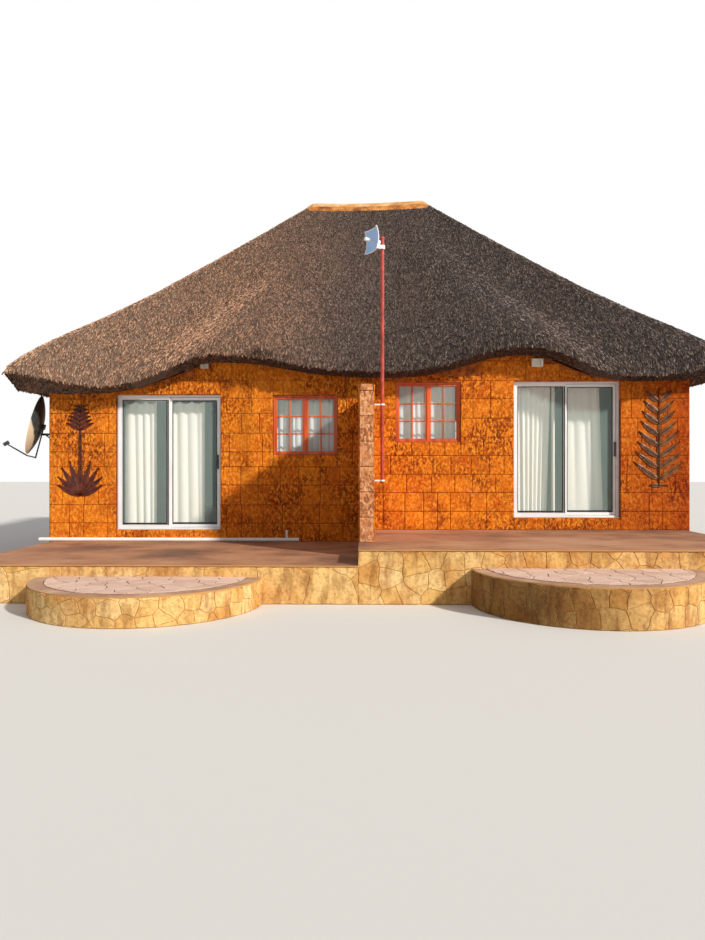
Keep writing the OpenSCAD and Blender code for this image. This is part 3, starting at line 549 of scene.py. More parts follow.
def without(rect, hole):
    """The parts of a rectangle (x0, z0, x1, z1) that lie outside a hole."""
    x0, z0, x1, z1 = rect
    a, c, b, d = hole
    if b <= x0 or a >= x1 or d <= z0 or c >= z1:
        return [rect]
    left = [] if a - x0 < LEAST_WIDE else [(x0, z0, a, z1)]
    right = [] if x1 - b < LEAST_WIDE else [(b, z0, x1, z1)]
    x0, x1 = max(x0, a) if left else x0, min(x1, b) if right else x1
    below = [] if c - z0 < LEAST_HIGH else [(x0, z0, x1, c)]
    above = [] if z1 - d < LEAST_HIGH else [(x0, d, x1, z1)]
    return left + right + below + above


COURSE_RATIOS = (0.8, 0.97, 1.0, 1.03, 1.06)
BLOCK_LONG = (0.20, 0.40)
RUNS_INTO = 0.09


def block_rects(x0, x1, z0, top, holes, seed):
    """Courses of blocks over a wall face, cut round its openings; upright joints often run on."""
    chance = random.Random(seed)
    rects, z, cuts = [], z0, []
    highest = max(top(x0 + (x1 - x0) * k / 60) for k in range(61))
    while z < highest - 0.05:
        course = COURSE * chance.choice(COURSE_RATIOS)
        if not cuts or chance.random() < 0.6:
            x, cuts = x0, []
            while x < x1 - 0.18:
                x += chance.uniform(*BLOCK_LONG)
                cuts.append(x)
            cuts[-1] = x1
            if len(cuts) > 1 and cuts[-1] - cuts[-2] < 0.15:
                cuts.pop(-2)
        # an upright joint that comes close to an opening's side runs into it
        sides = [side for hole in holes if hole[1] < z + course and hole[3] > z
                 for side in (hole[0], hole[2])]
        x = x0
        for cut in cuts:
            end = next((side for side in sides if abs(side - cut) < RUNS_INTO and cut < x1), cut)
            ceiling = min(top(x + (end - x) * k / 4) for k in range(5)) - 0.004
            parts = [(x, z, end, min(z + course, ceiling))]
            for hole in holes:
                parts = [p for rect in parts for p in without(rect, hole)]
            rects += [p for p in parts if p[3] - p[1] > LEAST_HIGH]
            x = end
        z += course
    return rects


BLOCK_THICK = (0.011, 0.014)


def clad(name, rects, origin, along, seed, material=ochre_block):
    """Lays blocks on a wall face; along is the face's direction seen from outside, left to right."""
    chance = np.random.default_rng(seed)
    out = Vector(along).cross(Vector((0, 0, 1)))
    frames, count = [], len(rects)
    for x0, z0, x1, z1 in rects:
        middle = Vector(origin) + Vector(along) * ((x0 + x1) / 2) + Vector((0, 0, (z0 + z1) / 2))
        depth = chance.uniform(*BLOCK_THICK)
        frames.append([
            [along[0] * (x1 - x0 - JOINT), -out[0] * depth, 0, middle[0]],
            [along[1] * (x1 - x0 - JOINT), -out[1] * depth, 0, middle[1]],
            [0, 0, z1 - z0 - JOINT, middle[2]], [0, 0, 0, 1]])
    made = lay_copies(name, block_kinds, np.array(frames), chance.integers(0, len(block_kinds), count),
                      chance.random(count), material)
    return made


LOWEST_TOP = 2.85


def wall_top(names, axis, at):
    """The height of the walls' trimmed top along one axis, from the CAD meshes."""
    best = {}
    for name in names:
        for v in nodes[name].data.vertices:
            if abs(v.co[1 - axis] - at) < 0.002:
                key = round(v.co[axis], 3)
                best[key] = max(best.get(key, -1), v.co.z)
    keys = sorted(k for k in best if best[k] > LOWEST_TOP)
    return lambda x: float(np.interp(x, keys, [best[k] for k in keys]))


def points_of(name, x_side=0, y_side=0):
    """A node's points: all, or those left (-1) or right (1) of the middle, before (-1) or behind (1) it."""
    co = np.array([v.co for v in nodes[name].data.vertices])
    return co[(co[:, 0] * x_side >= 0) & (co[:, 1] * y_side >= 0)]


def opening(name, x_side=0, y_side=0):
    """The opening that a frame fills, as (x0, z0, x1, z1)."""
    co = points_of(name, x_side, y_side)
    low, high = co.min(0) - 0.001, co.max(0) + 0.001
    return (low[0], low[2], high[0], high[2])


fin_low, fin_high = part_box("divider_wall")
FIN_TOP = float(fin_high[2])
holes = [opening("left_door_frame"), opening("right_door_frame"),
         opening("window_frames", -1, -1), opening("window_frames", 1, -1),
         (fin_low[0], 0, fin_high[0], FIN_TOP)]
front_top = wall_top([n for n in nodes if n.startswith("front_wall")], 0, front_y)
stoep_tops = {side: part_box(side + "_stoep")[1][2] for side in ("left", "right")}
clad("front_wall_blocks",
     block_rects(-half_w, 0, stoep_tops["left"], front_top, holes, 3)
     + block_rects(0, half_w, stoep_tops["right"], front_top, holes, 4),
     (0, front_y, 0), (1, 0, 0), 7)
# the courses of the other walls start just above the ground
BASE = 0.02
back_top = wall_top(["back_wall"], 0, back_y)
back_holes = [(-b, c, -a, d) for a, c, b, d in (opening("window_frames", side, 1) for side in (-1, 1))]
clad("back_wall_blocks", block_rects(-half_w, half_w, BASE, lambda x: back_top(-x), back_holes, 5),
     (0, back_y, 0), (-1, 0, 0), 8)
left_top = wall_top(["left_side_wall"], 1, -half_w)
clad("left_wall_blocks", block_rects(-back_y, back_y, BASE, lambda x: left_top(-x), [], 6),
     (-half_w, 0, 0), (0, -1, 0), 9)
right_top = wall_top(["right_side_wall"], 1, half_w)
clad("right_wall_blocks", block_rects(-back_y, back_y, BASE, right_top, [], 7),
     (half_w, 0, 0), (0, 1, 0), 10)

# Divider fin: a free-standing wall of the same blocks between the two stoeps, one block wide
# at its end, where they are bleached to a pinkish orange, with a thin capping block.
END_COURSE, CAP_HIGH, CAP_IN = 0.33, 0.09, 0.008
fin_run = fin_high[1] - fin_low[1]
clad("divider_wall_right_blocks", block_rects(0, fin_run, fin_low[2], lambda x: FIN_TOP, [], 12),
     (fin_high[0], fin_low[1], 0), (0, 1, 0), 13)
clad("divider_wall_left_blocks", block_rects(0, fin_run, fin_low[2], lambda x: FIN_TOP, [], 14),
     (fin_low[0], fin_high[1], 0), (0, -1, 0), 15)
clad("divider_wall_end_blocks",
     [(0, fin_low[2] + k * END_COURSE, fin_high[0] * 2, fin_low[2] + (k + 1) * END_COURSE) for k in range(6)]
     + [(CAP_IN, FIN_TOP - CAP_HIGH, fin_high[0] * 2 - CAP_IN, FIN_TOP)],
     (fin_low[0], fin_low[1], 0), (1, 0, 0), 16, end_block)
drop(block_kinds)

# Roof poles: peeled gum poles, oiled once and darkened by smoke, in a fan from the wall tops
# to the ridge pole.
gum_pole = mottled("peeled_gum_pole", [(0.3, "#4E3220"), (0.55, "#7A5434"), (0.8, "#946C46")],
                   (7, 5, 0.5, (1, 0.25, 1)), (60, 5), 0.003, Roughness=0.7)
paint(["rafters", "ridge_pole"], gum_pole)

# Thatch: weathered grass reed laid in bundles from the eave up, butts down the slope, combed
# and sheared at the eave. Grey-brown, painted lighter and warmer to the left and painted darker
# as shade to the right; the bed between the straws is painted dark as the shade in the gaps.
PITCH = 0.75
for side, turn in (("front", (-PITCH, 0, 0)), ("back", (PITCH, 0, 0)),
                   ("left", (0, PITCH, 0)), ("right", (0, -PITCH, 0))):
    stretch = (1, 0.12, 1) if side in ("front", "back") else (0.12, 1, 1)
    shaded_reed_bed, tree = new_material(side + "_shaded_reed_bed", Roughness=0.95)
    grain = noise_at(tree, 55, 5, 0.6, stretch, turn)
    # the bed shows only in the gaps between the straws and is painted dark as the shade there
    bed = add(tree, "ValToRGB", {"Fac": grain},
              stops=[(0.34, "#1E1612"), (0.5, "#43352C"), (0.68, "#7C6656")])
    # painted light: lighter to the left, as the straws over it are painted lighter there too
    painted_light_leftward = add(tree, "MapRange", {"Value": axis_place(tree, "X"), "From Min": -0.6, "From Max": -4.6,
                                      "To Max": 0.5})
    dress(shaded_reed_bed, add(tree, "Mix", {0: painted_light_leftward, 6: bed, 7: "#88725F"}, 2, data_type="RGBA"), grain, 0.02)
    paint([side + "_thatch"], shaded_reed_bed)

reed, tree = new_material("weathered_reed", Roughness=0.9)
straw_with_painted_light = own_tone(tree, [(0.0, "#5C4A3E"), (0.22, "#8C7868"), (0.5, "#B49E8A"),
                      (0.75, "#D2BDA9"), (1.0, "#F2E2D0")])
# from 0 at the eave's left end to 1 at its right end, wandering a little
ROOF_WIDE = 11.6
across = add(tree, "Math", {0: axis_place(tree, "X"), 1: 1 / ROOF_WIDE, 2: 0.38}, operation="MULTIPLY_ADD")
across = add(tree, "Math", {0: noise_at(tree, 0.5, 5), 1: 0.24, 2: across}, operation="MULTIPLY_ADD")
# painted light: straws lighter and warmer to the left, greyer and darker to the right
painted_light = add(tree, "ValToRGB", {"Fac": across},
              stops=[(0.0, "#FFE6D4"), (0.3, "#F2D2BE"), (0.5, "#AFA3A6"), (0.68, "#75706F"),
                     (0.8, "#90746A"), (0.88, "#767074"), (1.0, "#827A7A")])
straw_with_painted_light = add(tree, "Mix", {0: 1.0, 6: straw_with_painted_light, 7: painted_light}, 2, data_type="RGBA", blend_type="MULTIPLY")
# painted shade to the right: there the straws are grey and dark, with paler ones among them
shaded_straw = own_tone(tree, [(0.0, "#100C0A"), (0.2, "#261F1C"), (0.42, "#423631"),
                       (0.68, "#675852"), (0.86, "#8C7D75"), (1.0, "#BCADA2")])
painted_shade_to_right = add(tree, "ValToRGB", {"Fac": across}, stops=[(0.36, "#000000"), (0.64, "#E8E8E8")])
dress(reed, add(tree, "Mix", {0: painted_shade_to_right, 6: straw_with_painted_light, 7: shaded_straw}, 2, data_type="RGBA"))

# the sheared ends are reddish brown, painted darker as the shade under the eave
shaded_cut_reed, tree = new_material("sheared_reed_ends_painted_shade", Roughness=0.9)
dress(shaded_cut_reed, own_tone(tree, [(0.0, "#1C120E"), (0.4, "#3A241A"), (0.75, "#643C28"), (1.0, "#A0683E")]))

take_up()
straw_kinds = []
for length, width, lift in ((1.0, 1.0, 0.0), (1.0, 0.7, 0.25), (0.8, 1.3, 0.12)):
    bpy.ops.mesh.primitive_cone_add(vertices=3, radius1=0.5 * width, radius2=0, depth=length,
                                    rotation=(0, math.radians(90), 0))
    straw = bpy.context.object
    bpy.ops.object.transform_apply(location=True, rotation=True, scale=True)
    for v in straw.data.vertices:
        v.co.z += lift * (v.co.x / length + 0.5) ** 2
    straw_kinds.append(straw)


def slope_triangles(name):
    """Corner points of a slope's faces, their normals and areas."""
    mesh = nodes[name].data
    mesh.calc_loop_triangles()
    co = np.empty(len(mesh.vertices) * 3)
    mesh.vertices.foreach_get("co", co)
    tri = np.empty(len(mesh.loop_triangles) * 3, dtype=np.int32)
    mesh.loop_triangles.foreach_get("vertices", tri)
    corner = co.reshape(-1, 3)[tri.reshape(-1, 3)]
    cross = np.cross(corner[:, 1] - corner[:, 0], corner[:, 2] - corner[:, 0])
    size = np.linalg.norm(cross, axis=1)
    return corner, cross / np.maximum(size, 1e-12)[:, None], size / 2


def scatter(corner, normal, area, count, chance):
    """Random points spread evenly over triangles, with their normals."""
    which = chance.choice(len(area), count, p=area / area.sum())
    a, b = chance.random((2, count, 1))
    flip = (a + b) > 1
    a, b = np.where(flip, 1 - a, a), np.where(flip, 1 - b, b)
    c = corner[which]
    return c[:, 0] + a * (c[:, 1] - c[:, 0]) + b * (c[:, 2] - c[:, 0]), normal[which]


def straw_frames(point, normal, down, length, width, spread, tilt, chance):
    """Frames that lay straws along down, butts up a little from the surface."""
    count = len(point)
    down = down - normal * (down * normal).sum(1)[:, None]
    down /= np.linalg.norm(down, axis=1)[:, None]
    side = np.cross(normal, down)
    turn = chance.normal(0, spread, (count, 1))
    rise = chance.normal(tilt, 0.07, (count, 1))
    axis = down * np.cos(turn) + side * np.sin(turn) + normal * rise
    axis /= np.linalg.norm(axis, axis=1)[:, None]
    side = np.cross(normal, axis)
    side /= np.linalg.norm(side, axis=1)[:, None]
    up = np.cross(axis, side)
    long = length * chance.uniform(0.6, 1.3, (count, 1))
    wide = width * chance.uniform(0.6, 1.4, (count, 1))
    frames = np.zeros((count, 4, 4))
    frames[:, :3, 0] = -axis * long
    frames[:, :3, 1] = -side * wide
    frames[:, :3, 2] = up * wide
    frames[:, :3, 3] = point
    frames[:, 3, 3] = 1
    return frames


# straws in layers, each piece a band of a slope: (name, slope, lowest z, highest z, straws a m2)
STRAW_LONG, STRAW_WIDE, STRAW_SPREAD, STRAW_TILT = 0.095, 0.0145, 0.24, 0.07
LOOKS_UP, LOOKS_DOWN, LOOKS_OUT = 0.3, -0.15, 0.12
BANDS = (("front_lower", "front", 0, 3.75, 1500), ("front_middle", "front", 3.75, 4.7, 1500),
         ("front_upper", "front", 4.7, 9, 1500),
         ("back", "back", 0, 9, 820), ("left", "left", 0, 9, 860), ("right", "right", 0, 9, 860))
for number, (band, side, low_z, high_z, density) in enumerate(BANDS):
    chance = np.random.default_rng(100 + number)
    corner, normal, area = slope_triangles(side + "_thatch")
    height = corner[:, :, 2].mean(1)
    upper = (normal[:, 2] > LOOKS_UP) & (height > low_z) & (height <= high_z)
    count = int(area[upper].sum() * density)
    point, n = scatter(corner[upper], normal[upper], area[upper], count, chance)
    made = lay_copies(band + "_thatch_reed", straw_kinds,
                      straw_frames(point + n * 0.004, n, np.tile([0, 0, -1.0], (count, 1)),
                                   STRAW_LONG, STRAW_WIDE, STRAW_SPREAD, STRAW_TILT, chance),
                      chance.integers(0, 3, count), chance.random(count) ** 1.3, reed)

# sheared ends that look out and down under the tip of the eave
END_LONG, END_WIDE, END_SPREAD, END_TILT, ENDS_A_M2 = 0.06, 0.014, 0.25, 0.25, 2000
for number, side in enumerate(("front", "back", "left", "right")):
    chance = np.random.default_rng(200 + number)
    corner, normal, area = slope_triangles(side + "_thatch")
    middle = corner.mean(1)
    outward = middle[:, :2] / np.linalg.norm(middle[:, :2], axis=1)[:, None]
    under = (normal[:, 2] < LOOKS_DOWN) & ((normal[:, :2] * outward).sum(1) > LOOKS_OUT)
    count = int(area[under].sum() * ENDS_A_M2)
    point, n = scatter(corner[under], normal[under], area[under], count, chance)
    away = point[:, :2] / np.linalg.norm(point[:, :2], axis=1)[:, None]
    made = lay_copies(side + "_thatch_cut_edge", straw_kinds,
                      straw_frames(point, n, np.c_[away * 0.8, -np.ones(count)],
                                   END_LONG, END_WIDE, END_SPREAD, END_TILT, chance),
                      chance.integers(0, 3, count), chance.random(count), shaded_cut_reed)
drop(straw_kinds)

# Ridge cap: a saddle of tinted cement trowelled over wire mesh, its top painted pale gold as
# the lit side and its flanks orange-brown as painted shade, with a rounded nose at each end.
ridge_cement, tree = new_material("tinted_ridge_cement", Roughness=0.7)
# painted light: the top pale gold as the lit side, the flanks orange-brown as painted shade
top = add(tree, "ValToRGB", {"Fac": noise_at(tree, 6, 8, 0.7, (0.5, 1, 1))},
          stops=[(0.36, "#A86C34"), (0.5, "#E4B272"), (0.64, "#FBE0B8")])
shaded_flank = add(tree, "ValToRGB", {"Fac": noise_at(tree, 7, 8, 0.7, (0.5, 1, 1))},
            stops=[(0.36, "#6A3810"), (0.5, "#BC7228"), (0.64, "#EAA858")])
dress(ridge_cement, topped(tree, shaded_flank, top, 0.62, 0.86), noise_at(tree, 30, 6), 0.008)
paint(["ridge_cap"], ridge_cement)

# Patio doors: natural anodised aluminium sections, a fixed left panel and a sliding right one,
# glazed with float glass in black rubber, with a black moulded pull on the closing stile; the
# glass's pale teal is partly its tint and partly a painted sky reflection.
aluminium = mottled("natural_anodised_aluminium", [(0.3, "#E0E2E4"), (0.7, "#F0F1F2")], (3, 4),
                    (400, 2, 0.5, (0.05, 1, 1)), 0.0004, Roughness=0.45, Metallic=0.08)
paint(["left_door_frame", "right_door_frame", "door_fixed_panels", "left_door_leaf", "right_door_leaf"],
      aluminium)
# painted reflection: the pale teal is partly the glass's tint and partly the sky it reflects
float_glass = mottled("tinted_float_glass_painted_reflection", [(0.3, "#C0E4DC"), (0.7, "#D4EEE8")], (0.8, 2),
                      Roughness=0.05, Alpha=0.14, IOR=1.5)
paint(["door_fixed_glass", "left_door_leaf_glass", "right_door_leaf_glass", "window_glass"], float_glass)
black_nylon = mottled("black_nylon", [(0.3, "#141416"), (0.7, "#26262A")], (300, 3), Roughness=0.45)
paint(["left_door_handle", "right_door_handle"], black_nylon)
black_rubber = mottled("black_glazing_rubber", [(0.3, "#0E0F10"), (0.7, "#242628")], (60, 3), Roughness=0.7)


def lay_bars(name, boxes, material, body="root", arris=0.0015):
    """Straight members with broken edges, one for each (low corner, high corner), as one piece."""
    parts = []
    for low, high in boxes:
        bpy.ops.mesh.primitive_cube_add(size=1, location=[(a + b) / 2 for a, b in zip(low, high)],
                                        scale=[b - a for a, b in zip(low, high)])
        parts.append(bpy.context.object)
    for part in parts:
        part.select_set(True)
    bpy.ops.object.join()
    bpy.ops.object.transform_apply(location=True, rotation=True, scale=True)
    made = bpy.context.object
    made.name = name
    bevel = made.modifiers.new("arris", "BEVEL")
    bevel.width, bevel.segments = arris, 1
    bpy.ops.object.modifier_apply(modifier="arris")
    made.data.materials.append(material)
    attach(made, body)
    made.select_set(False)
    return made


def glass_panes(name):
    """The panes of a glass node, as (low corner, high corner), from left to right."""
    co = points_of(name)
    edges = sorted(set(np.round(co[:, 0], 3)))
    panes = []
    for a, b in zip(edges[::2], edges[1::2]):
        own = co[(co[:, 0] > a - 0.002) & (co[:, 0] < b + 0.002)]
        panes.append((own.min(0), own.max(0)))
    return panes


def member(y, x0, z0, x1, z1):
    """The corners of a straight member in an upright frame, y[0] to y[1] deep."""
    return (x0, y[0], z0), (x1, y[1], z1)


# glazing rubber round each pane of the doors, deeper along the bottom rail, where the extra depth is painted
# shade for the dark gap above the rail
RUBBER, FOOT_RUBBER_AND_SHADE, RUBBER_OUT, RUBBER_IN = 0.009, 0.028, 0.006, 0.004
SHADE_STRIP = 0.019
for name, glass, body in (("fixed_panel_rubbers_and_shade_strips", "door_fixed_glass", "root"),
                          ("left_leaf_rubbers", "left_door_leaf_glass", "left_door"),
                          ("right_leaf_rubbers", "right_door_leaf_glass", "right_door")):
    boxes = []
    if body == "root":
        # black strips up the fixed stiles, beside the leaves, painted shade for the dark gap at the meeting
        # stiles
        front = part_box("door_fixed_panels")[0][1]
        for side in ("left", "right"):
            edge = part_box(side + "_door_leaf")[0][0] - 0.0015
            low, high = [pane for pane in glass_panes(glass) if abs(pane[1][0] - edge) < 0.2][0]
            boxes.append(member((front - 0.0045, front + 0.001), edge - SHADE_STRIP, low[2], edge, high[2]))
    for low, high in glass_panes(glass):
        y = low[1] - RUBBER_OUT, high[1] + RUBBER_OUT
        x0, x1 = low[0] + RUBBER_IN, high[0] - RUBBER_IN
        z0, z1 = low[2] + RUBBER_IN, high[2] - RUBBER_IN
        boxes += [member(y, x0, z0, x1, z0 + FOOT_RUBBER_AND_SHADE), member(y, x0, z1 - RUBBER, x1, z1),
                  member(y, x0, z0, x0 + RUBBER, z1), member(y, x1 - RUBBER, z0, x1, z1)]
    lay_bars(name, boxes, black_rubber, body)

# Windows: small casements of meranti, stained red-brown: a slim frame with a middle post, and
# two sashes with narrow stiles, each divided by one bar up and two across into six panes.
meranti = mottled("stained_meranti", [(0.3, "#AC3E16"), (0.55, "#D45C22"), (0.8, "#EA7E3C")],
                  (12, 6, 0.5, (1, 1, 0.12)), (90, 3, 0.5, (1, 1, 0.1)), 0.001, Roughness=0.42)
FRAME, POST, STILE, BAR = 0.031, 0.038, 0.026, 0.021
PLAY, REBATE, BAR_PROUD = 0.001, 0.006, 0.011
for name, row in (("front", -1), ("back", 1)):
    frames, sashes, bars, panes = [], [], [], []
    ys = [points_of(node, 0, row)[:, 1] for node in ("window_frames", "window_sashes", "window_glass")]
    of_frame, of_sash, of_glass = [(y.min(), y.max()) for y in ys]
    of_bar = of_glass[0] - BAR_PROUD, of_glass[1] + BAR_PROUD
    of_cross_bar = of_bar[0] + 0.001, of_bar[1] - 0.001
    for side in (-1, 1):
        own = points_of("window_frames", side, row)
        (x0, _, z0), (x1, _, z1) = own.min(0), own.max(0)
        middle = (x0 + x1) / 2
        foot, head = z0 + FRAME, z1 - FRAME
        frames += [member(of_frame, x0, head, x1, z1), member(of_frame, x0, z0, x1, foot),
                   member(of_frame, x0, foot, x0 + FRAME, head), member(of_frame, x1 - FRAME, foot, x1, head),
                   member(of_frame, middle - POST / 2, foot, middle + POST / 2, head)]
        foot, head = foot + PLAY, head - PLAY
        low, high = foot + STILE, head - STILE
        for a, b in ((x0 + FRAME + PLAY, middle - POST / 2 - PLAY),
                     (middle + POST / 2 + PLAY, x1 - FRAME - PLAY)):
            left, right, centre = a + STILE, b - STILE, (a + b) / 2
            sashes += [member(of_sash, a, foot, left, head), member(of_sash, right, foot, b, head),
                       member(of_sash, left, foot, right, low), member(of_sash, left, high, right, head)]
            panes.append(member(of_glass, left - REBATE, low - REBATE, right + REBATE, high + REBATE))
            bars.append(member(of_bar, centre - BAR / 2, low, centre + BAR / 2, high))
            for part in (1 / 3, 2 / 3):
                z = low + (high - low) * part
                bars.append(member(of_cross_bar, left, z - BAR / 2, right, z + BAR / 2))
    made = lay_bars(name + "_casement_frames", frames, meranti, arris=0.003)
    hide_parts("window_frames")
    made = lay_bars(name + "_casement_sashes", sashes, meranti, arris=0.002)
    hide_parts("window_sashes")
    lay_bars(name + "_casement_bars", bars, meranti, arris=0.002)
    made = lay_bars(name + "_casement_panes", panes, float_glass, arris=0.0005)
    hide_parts("window_glass")

# Curtains: cream drapes at the doors and white nets at the windows, cut flat, gathered to
# about nine tenths of their width on hooks under the rails, and hanging in soft uneven folds.
rail_enamel = mottled("white_rail_enamel", [(0.3, "#E2DED4"), (0.7, "#F0ECE4")], (9, 3), Roughness=0.4)
paint(["curtain_rails"], rail_enamel)
cream_cloth = mottled("cream_lined_cloth", [(0.3, "#FCF4E8"), (0.7, "#FFFDF8")], (3, 4, 0.5, (1, 1, 0.3)),
                      (600, 2), 0.0006, Roughness=0.9, Sheen_Weight=0.2)
net_cloth = mottled("white_net_cloth", [(0.3, "#E4E8EC"), (0.7, "#FAFAFA")], (4, 4, 0.5, (1, 1, 0.3)),
                    (500, 2), 0.0006, Roughness=0.9, Sheen_Weight=0.2)


def hang(name, top, foot, y, z, folds, seed, material, scallop=0.02, hooks=3, depth=0.022, widths=None):
    """A gathered sheet between its top and foot ends (x0, x1), under a rail at height z[1].

    Folds stand forward in broad rounds with narrow valleys between, and every row holds the
    same length of cloth, which is the sheet's flat width.
    """
    chance = np.random.default_rng(seed)
    rows, columns = 26, folds * 14
    widths = chance.uniform(0.6, 1.5, folds) if widths is None else np.array(widths)
    loose = np.r_[0, np.cumsum(widths)] / widths.sum()
    even = np.linspace(0, 1, folds + 1)
    depths = chance.uniform(0.7, 1.0, folds)
    u = np.linspace(0, 1, 1500)

    def row_line(v, amp):
        x = top[0] + (foot[0] - top[0]) * v + ((top[1] - top[0]) * (1 - v) + (foot[1] - foot[0]) * v) * u
        knots = even + (loose - even) * (0.4 + 0.6 * v)
        turn = np.interp(u, knots, np.arange(folds + 1))
        own = depths[np.minimum(turn.astype(int), folds - 1)]
        wave = 0.8 - 1.8 * np.sqrt(np.sin(np.pi * turn) ** 2 * own ** 2 + 0.02)
        run = np.r_[0, np.cumsum(np.hypot(np.diff(x), np.diff(amp * wave)))]
        return x, amp * wave, run

    flat = float(row_line(0, depth)[2][-1])
    points = []
    for row in range(rows + 1):
        v = row / rows
        low, high = 0.0, 0.06
        for _ in range(24):
            amp = (low + high) / 2
            low, high = (amp, high) if row_line(v, amp)[2][-1] < flat else (low, amp)
        x, wave, run = row_line(v, amp)
        at = np.interp(np.linspace(0, run[-1], columns + 1), run, u)
        sag = scallop * math.exp(-v * 14) * np.abs(np.sin(np.pi * hooks * at)) ** 0.8
        height = z[1] - (z[1] - z[0]) * v - sag
        points += list(zip(np.interp(at, u, x).tolist(), (y + np.interp(at, u, wave)).tolist(),
                           height.tolist()))
    wide = columns + 1
    faces = [(r * wide + c, (r + 1) * wide + c, (r + 1) * wide + c + 1, r * wide + c + 1)
             for r in range(rows) for c in range(columns)]
    mesh = bpy.data.meshes.new(name)
    mesh.from_pydata(points, [], faces)
    mesh.polygons.foreach_set("use_smooth", [True] * len(faces))
    made = new_piece(name, mesh, material)
    return made


RAIL_Y = -3.68
DRAPES = (
    ("left_door_drape_1", (-3.962, -3.444), (-3.962, -3.446), (0.68, 2.727), 4, 51, 0.045, None),
    ("left_door_drape_2", (-3.277, -2.651), (-3.277, -2.656), (0.68, 2.727), 4, 52, 0.045, None),
    ("right_door_drape_1", (2.367, 2.985), (2.367, 2.92), (0.88, 3.057), 7, 53, 0.02,
     (1.9, 1.0, 0.9, 0.8, 0.9, 0.9, 1.1)),
    ("right_door_drape_2", (3.002, 3.055), (3.002, 3.058), (0.88, 3.057), 1, 54, 0.01, None),
    ("right_door_drape_3", (3.193, 3.768), (3.193, 3.83), (0.88, 3.057), 4, 55, 0.02, None),
)
for name, top, foot, z, folds, seed, scallop, widths in DRAPES:
    made = hang(name, top, foot, RAIL_Y, z, folds, seed, cream_cloth, scallop, widths=widths)
    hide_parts("door_curtains")
NET_LONG = 1.067
NETS = (("left_net_1", -1.445, -0.995, 1.79, 61), ("left_net_2", -0.955, -0.505, 1.79, 62),
        ("right_net_1", 0.505, 0.955, 1.99, 63), ("right_net_2", 0.995, 1.445, 1.99, 64))
for name, x0, x1, foot, seed in NETS:
    made = hang(name, (x0, x1), (x0, x1), RAIL_Y, (foot, foot + NET_LONG), 5, seed, net_cloth, 0.01, 4, 0.018)
    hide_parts("window_curtains")

# Mast: a steel pipe in red oxide primer in two white clamps, with a link antenna on top, its
# square reflector pressed from white sheet with a rolled edge.
red_oxide = mottled("red_oxide_primer", [(0.3, "#8C2A1C"), (0.6, "#B8402C"), (0.8, "#C86048")], (14, 5),
                    (120, 3), 0.0008, Roughness=0.55)
paint(["antenna_mast"], red_oxide)
white_abs = mottled("white_abs", [(0.3, "#DCE0E2"), (0.7, "#F2F4F4")], (12, 4), (250, 2), 0.0004,
                    Roughness=0.4)
paint(["mast_brackets", "antenna_radio", "antenna_feed"], white_abs)
# painted reflection: the white reflector is coloured pale blue for the sky it reflects
reflector_painted_sky = mottled("white_reflector_painted_sky_blue", [(0.3, "#8CB8F4"), (0.7, "#B4D2FA")], (7, 4),
                          (200, 2), 0.0004, Roughness=0.35)
paint(["antenna_panel"], reflector_painted_sky)
# rolled edge of the reflector: a tube along the square's four sides, HALF the side from its
# middle, on a bowl of radius BOWL whose centre lies BOWL_BACK behind the mast's top at AT
AT, BOWL, BOWL_BACK, HALF, EDGE_RADIUS = Vector((0.21, -5.8, 4.631)), 0.3825, 0.5, 0.1495, 0.0075
corners = [(-HALF, -HALF), (HALF, -HALF), (HALF, HALF), (-HALF, HALF)]
edge = [(a[0] + (b[0] - a[0]) * k / 8, a[1] + (b[1] - a[1]) * k / 8)
        for a, b in zip(corners, corners[1:] + corners[:1]) for k in range(8)]
curve = bpy.data.curves.new("reflector_edge", "CURVE")
curve.dimensions, curve.bevel_depth, curve.bevel_resolution = "3D", EDGE_RADIUS, 2
line = curve.splines.new("POLY")
line.points.add(len(edge) - 1)
line.use_cyclic_u = True
cos30, sin30 = math.cos(math.radians(30)), math.sin(math.radians(30))
for point, (side, up) in zip(line.points, edge):
    out = -BOWL_BACK + math.sqrt(BOWL ** 2 - side ** 2 - up ** 2)
    point.co = (AT.x + out * cos30 - side * sin30, AT.y + out * sin30 + side * cos30, AT.z + up, 1)
rolled = bpy.data.objects.new("reflector_rolled_edge", curve)
bpy.context.collection.objects.link(rolled)
take_up(rolled)
bpy.ops.object.convert(target="MESH")
rolled = bpy.context.object
bpy.ops.object.shade_smooth()
rolled.data.materials.append(white_abs)
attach(rolled, "root")

# Satellite dish: pressed steel in dark grey powder coat, with painted sunlight: the part the sun lit
# past the hut's shadow shown cream, low in front; on a bracket and with a receiver arm of dark coated tube.
dish_coat, tree = new_material("dish_powder_coat_with_painted_sunlight", Roughness=0.5)
# how far a point lies below and in front of the slanting line where the painted sunlit part ends
low_front = -4.414
for axis, slant in (("Y", -2.4), ("Z", -2.0)):
    low_front = add(tree, "Math", {0: axis_place(tree, axis), 1: slant, 2: low_front},
                    operation="MULTIPLY_ADD")
low_front = add(tree, "Math", {0: noise_at(tree, 7, 4), 1: 0.2, 2: low_front}, operation="MULTIPLY_ADD")
painted_sunlight = add(tree, "ValToRGB", {"Fac": low_front}, stops=[(0.56, "#000000"), (0.66, "#FFFFFF")])
dark = add(tree, "ValToRGB", {"Fac": noise_at(tree, 18, 4)}, stops=[(0.3, "#2C3434"), (0.7, "#485252")])
dress(dish_coat, add(tree, "Mix", {0: painted_sunlight, 6: dark, 7: "#EAD8B8"}, 2, data_type="RGBA"),
      noise_at(tree, 300, 2), 0.0004)
paint(["satellite_dish"], dish_coat)
bracket_coat = mottled("dark_bracket_coat", [(0.3, "#26292A"), (0.7, "#3C4042")], (20, 4), Roughness=0.5)
paint(["dish_bracket", "dish_receiver"], bracket_coat)

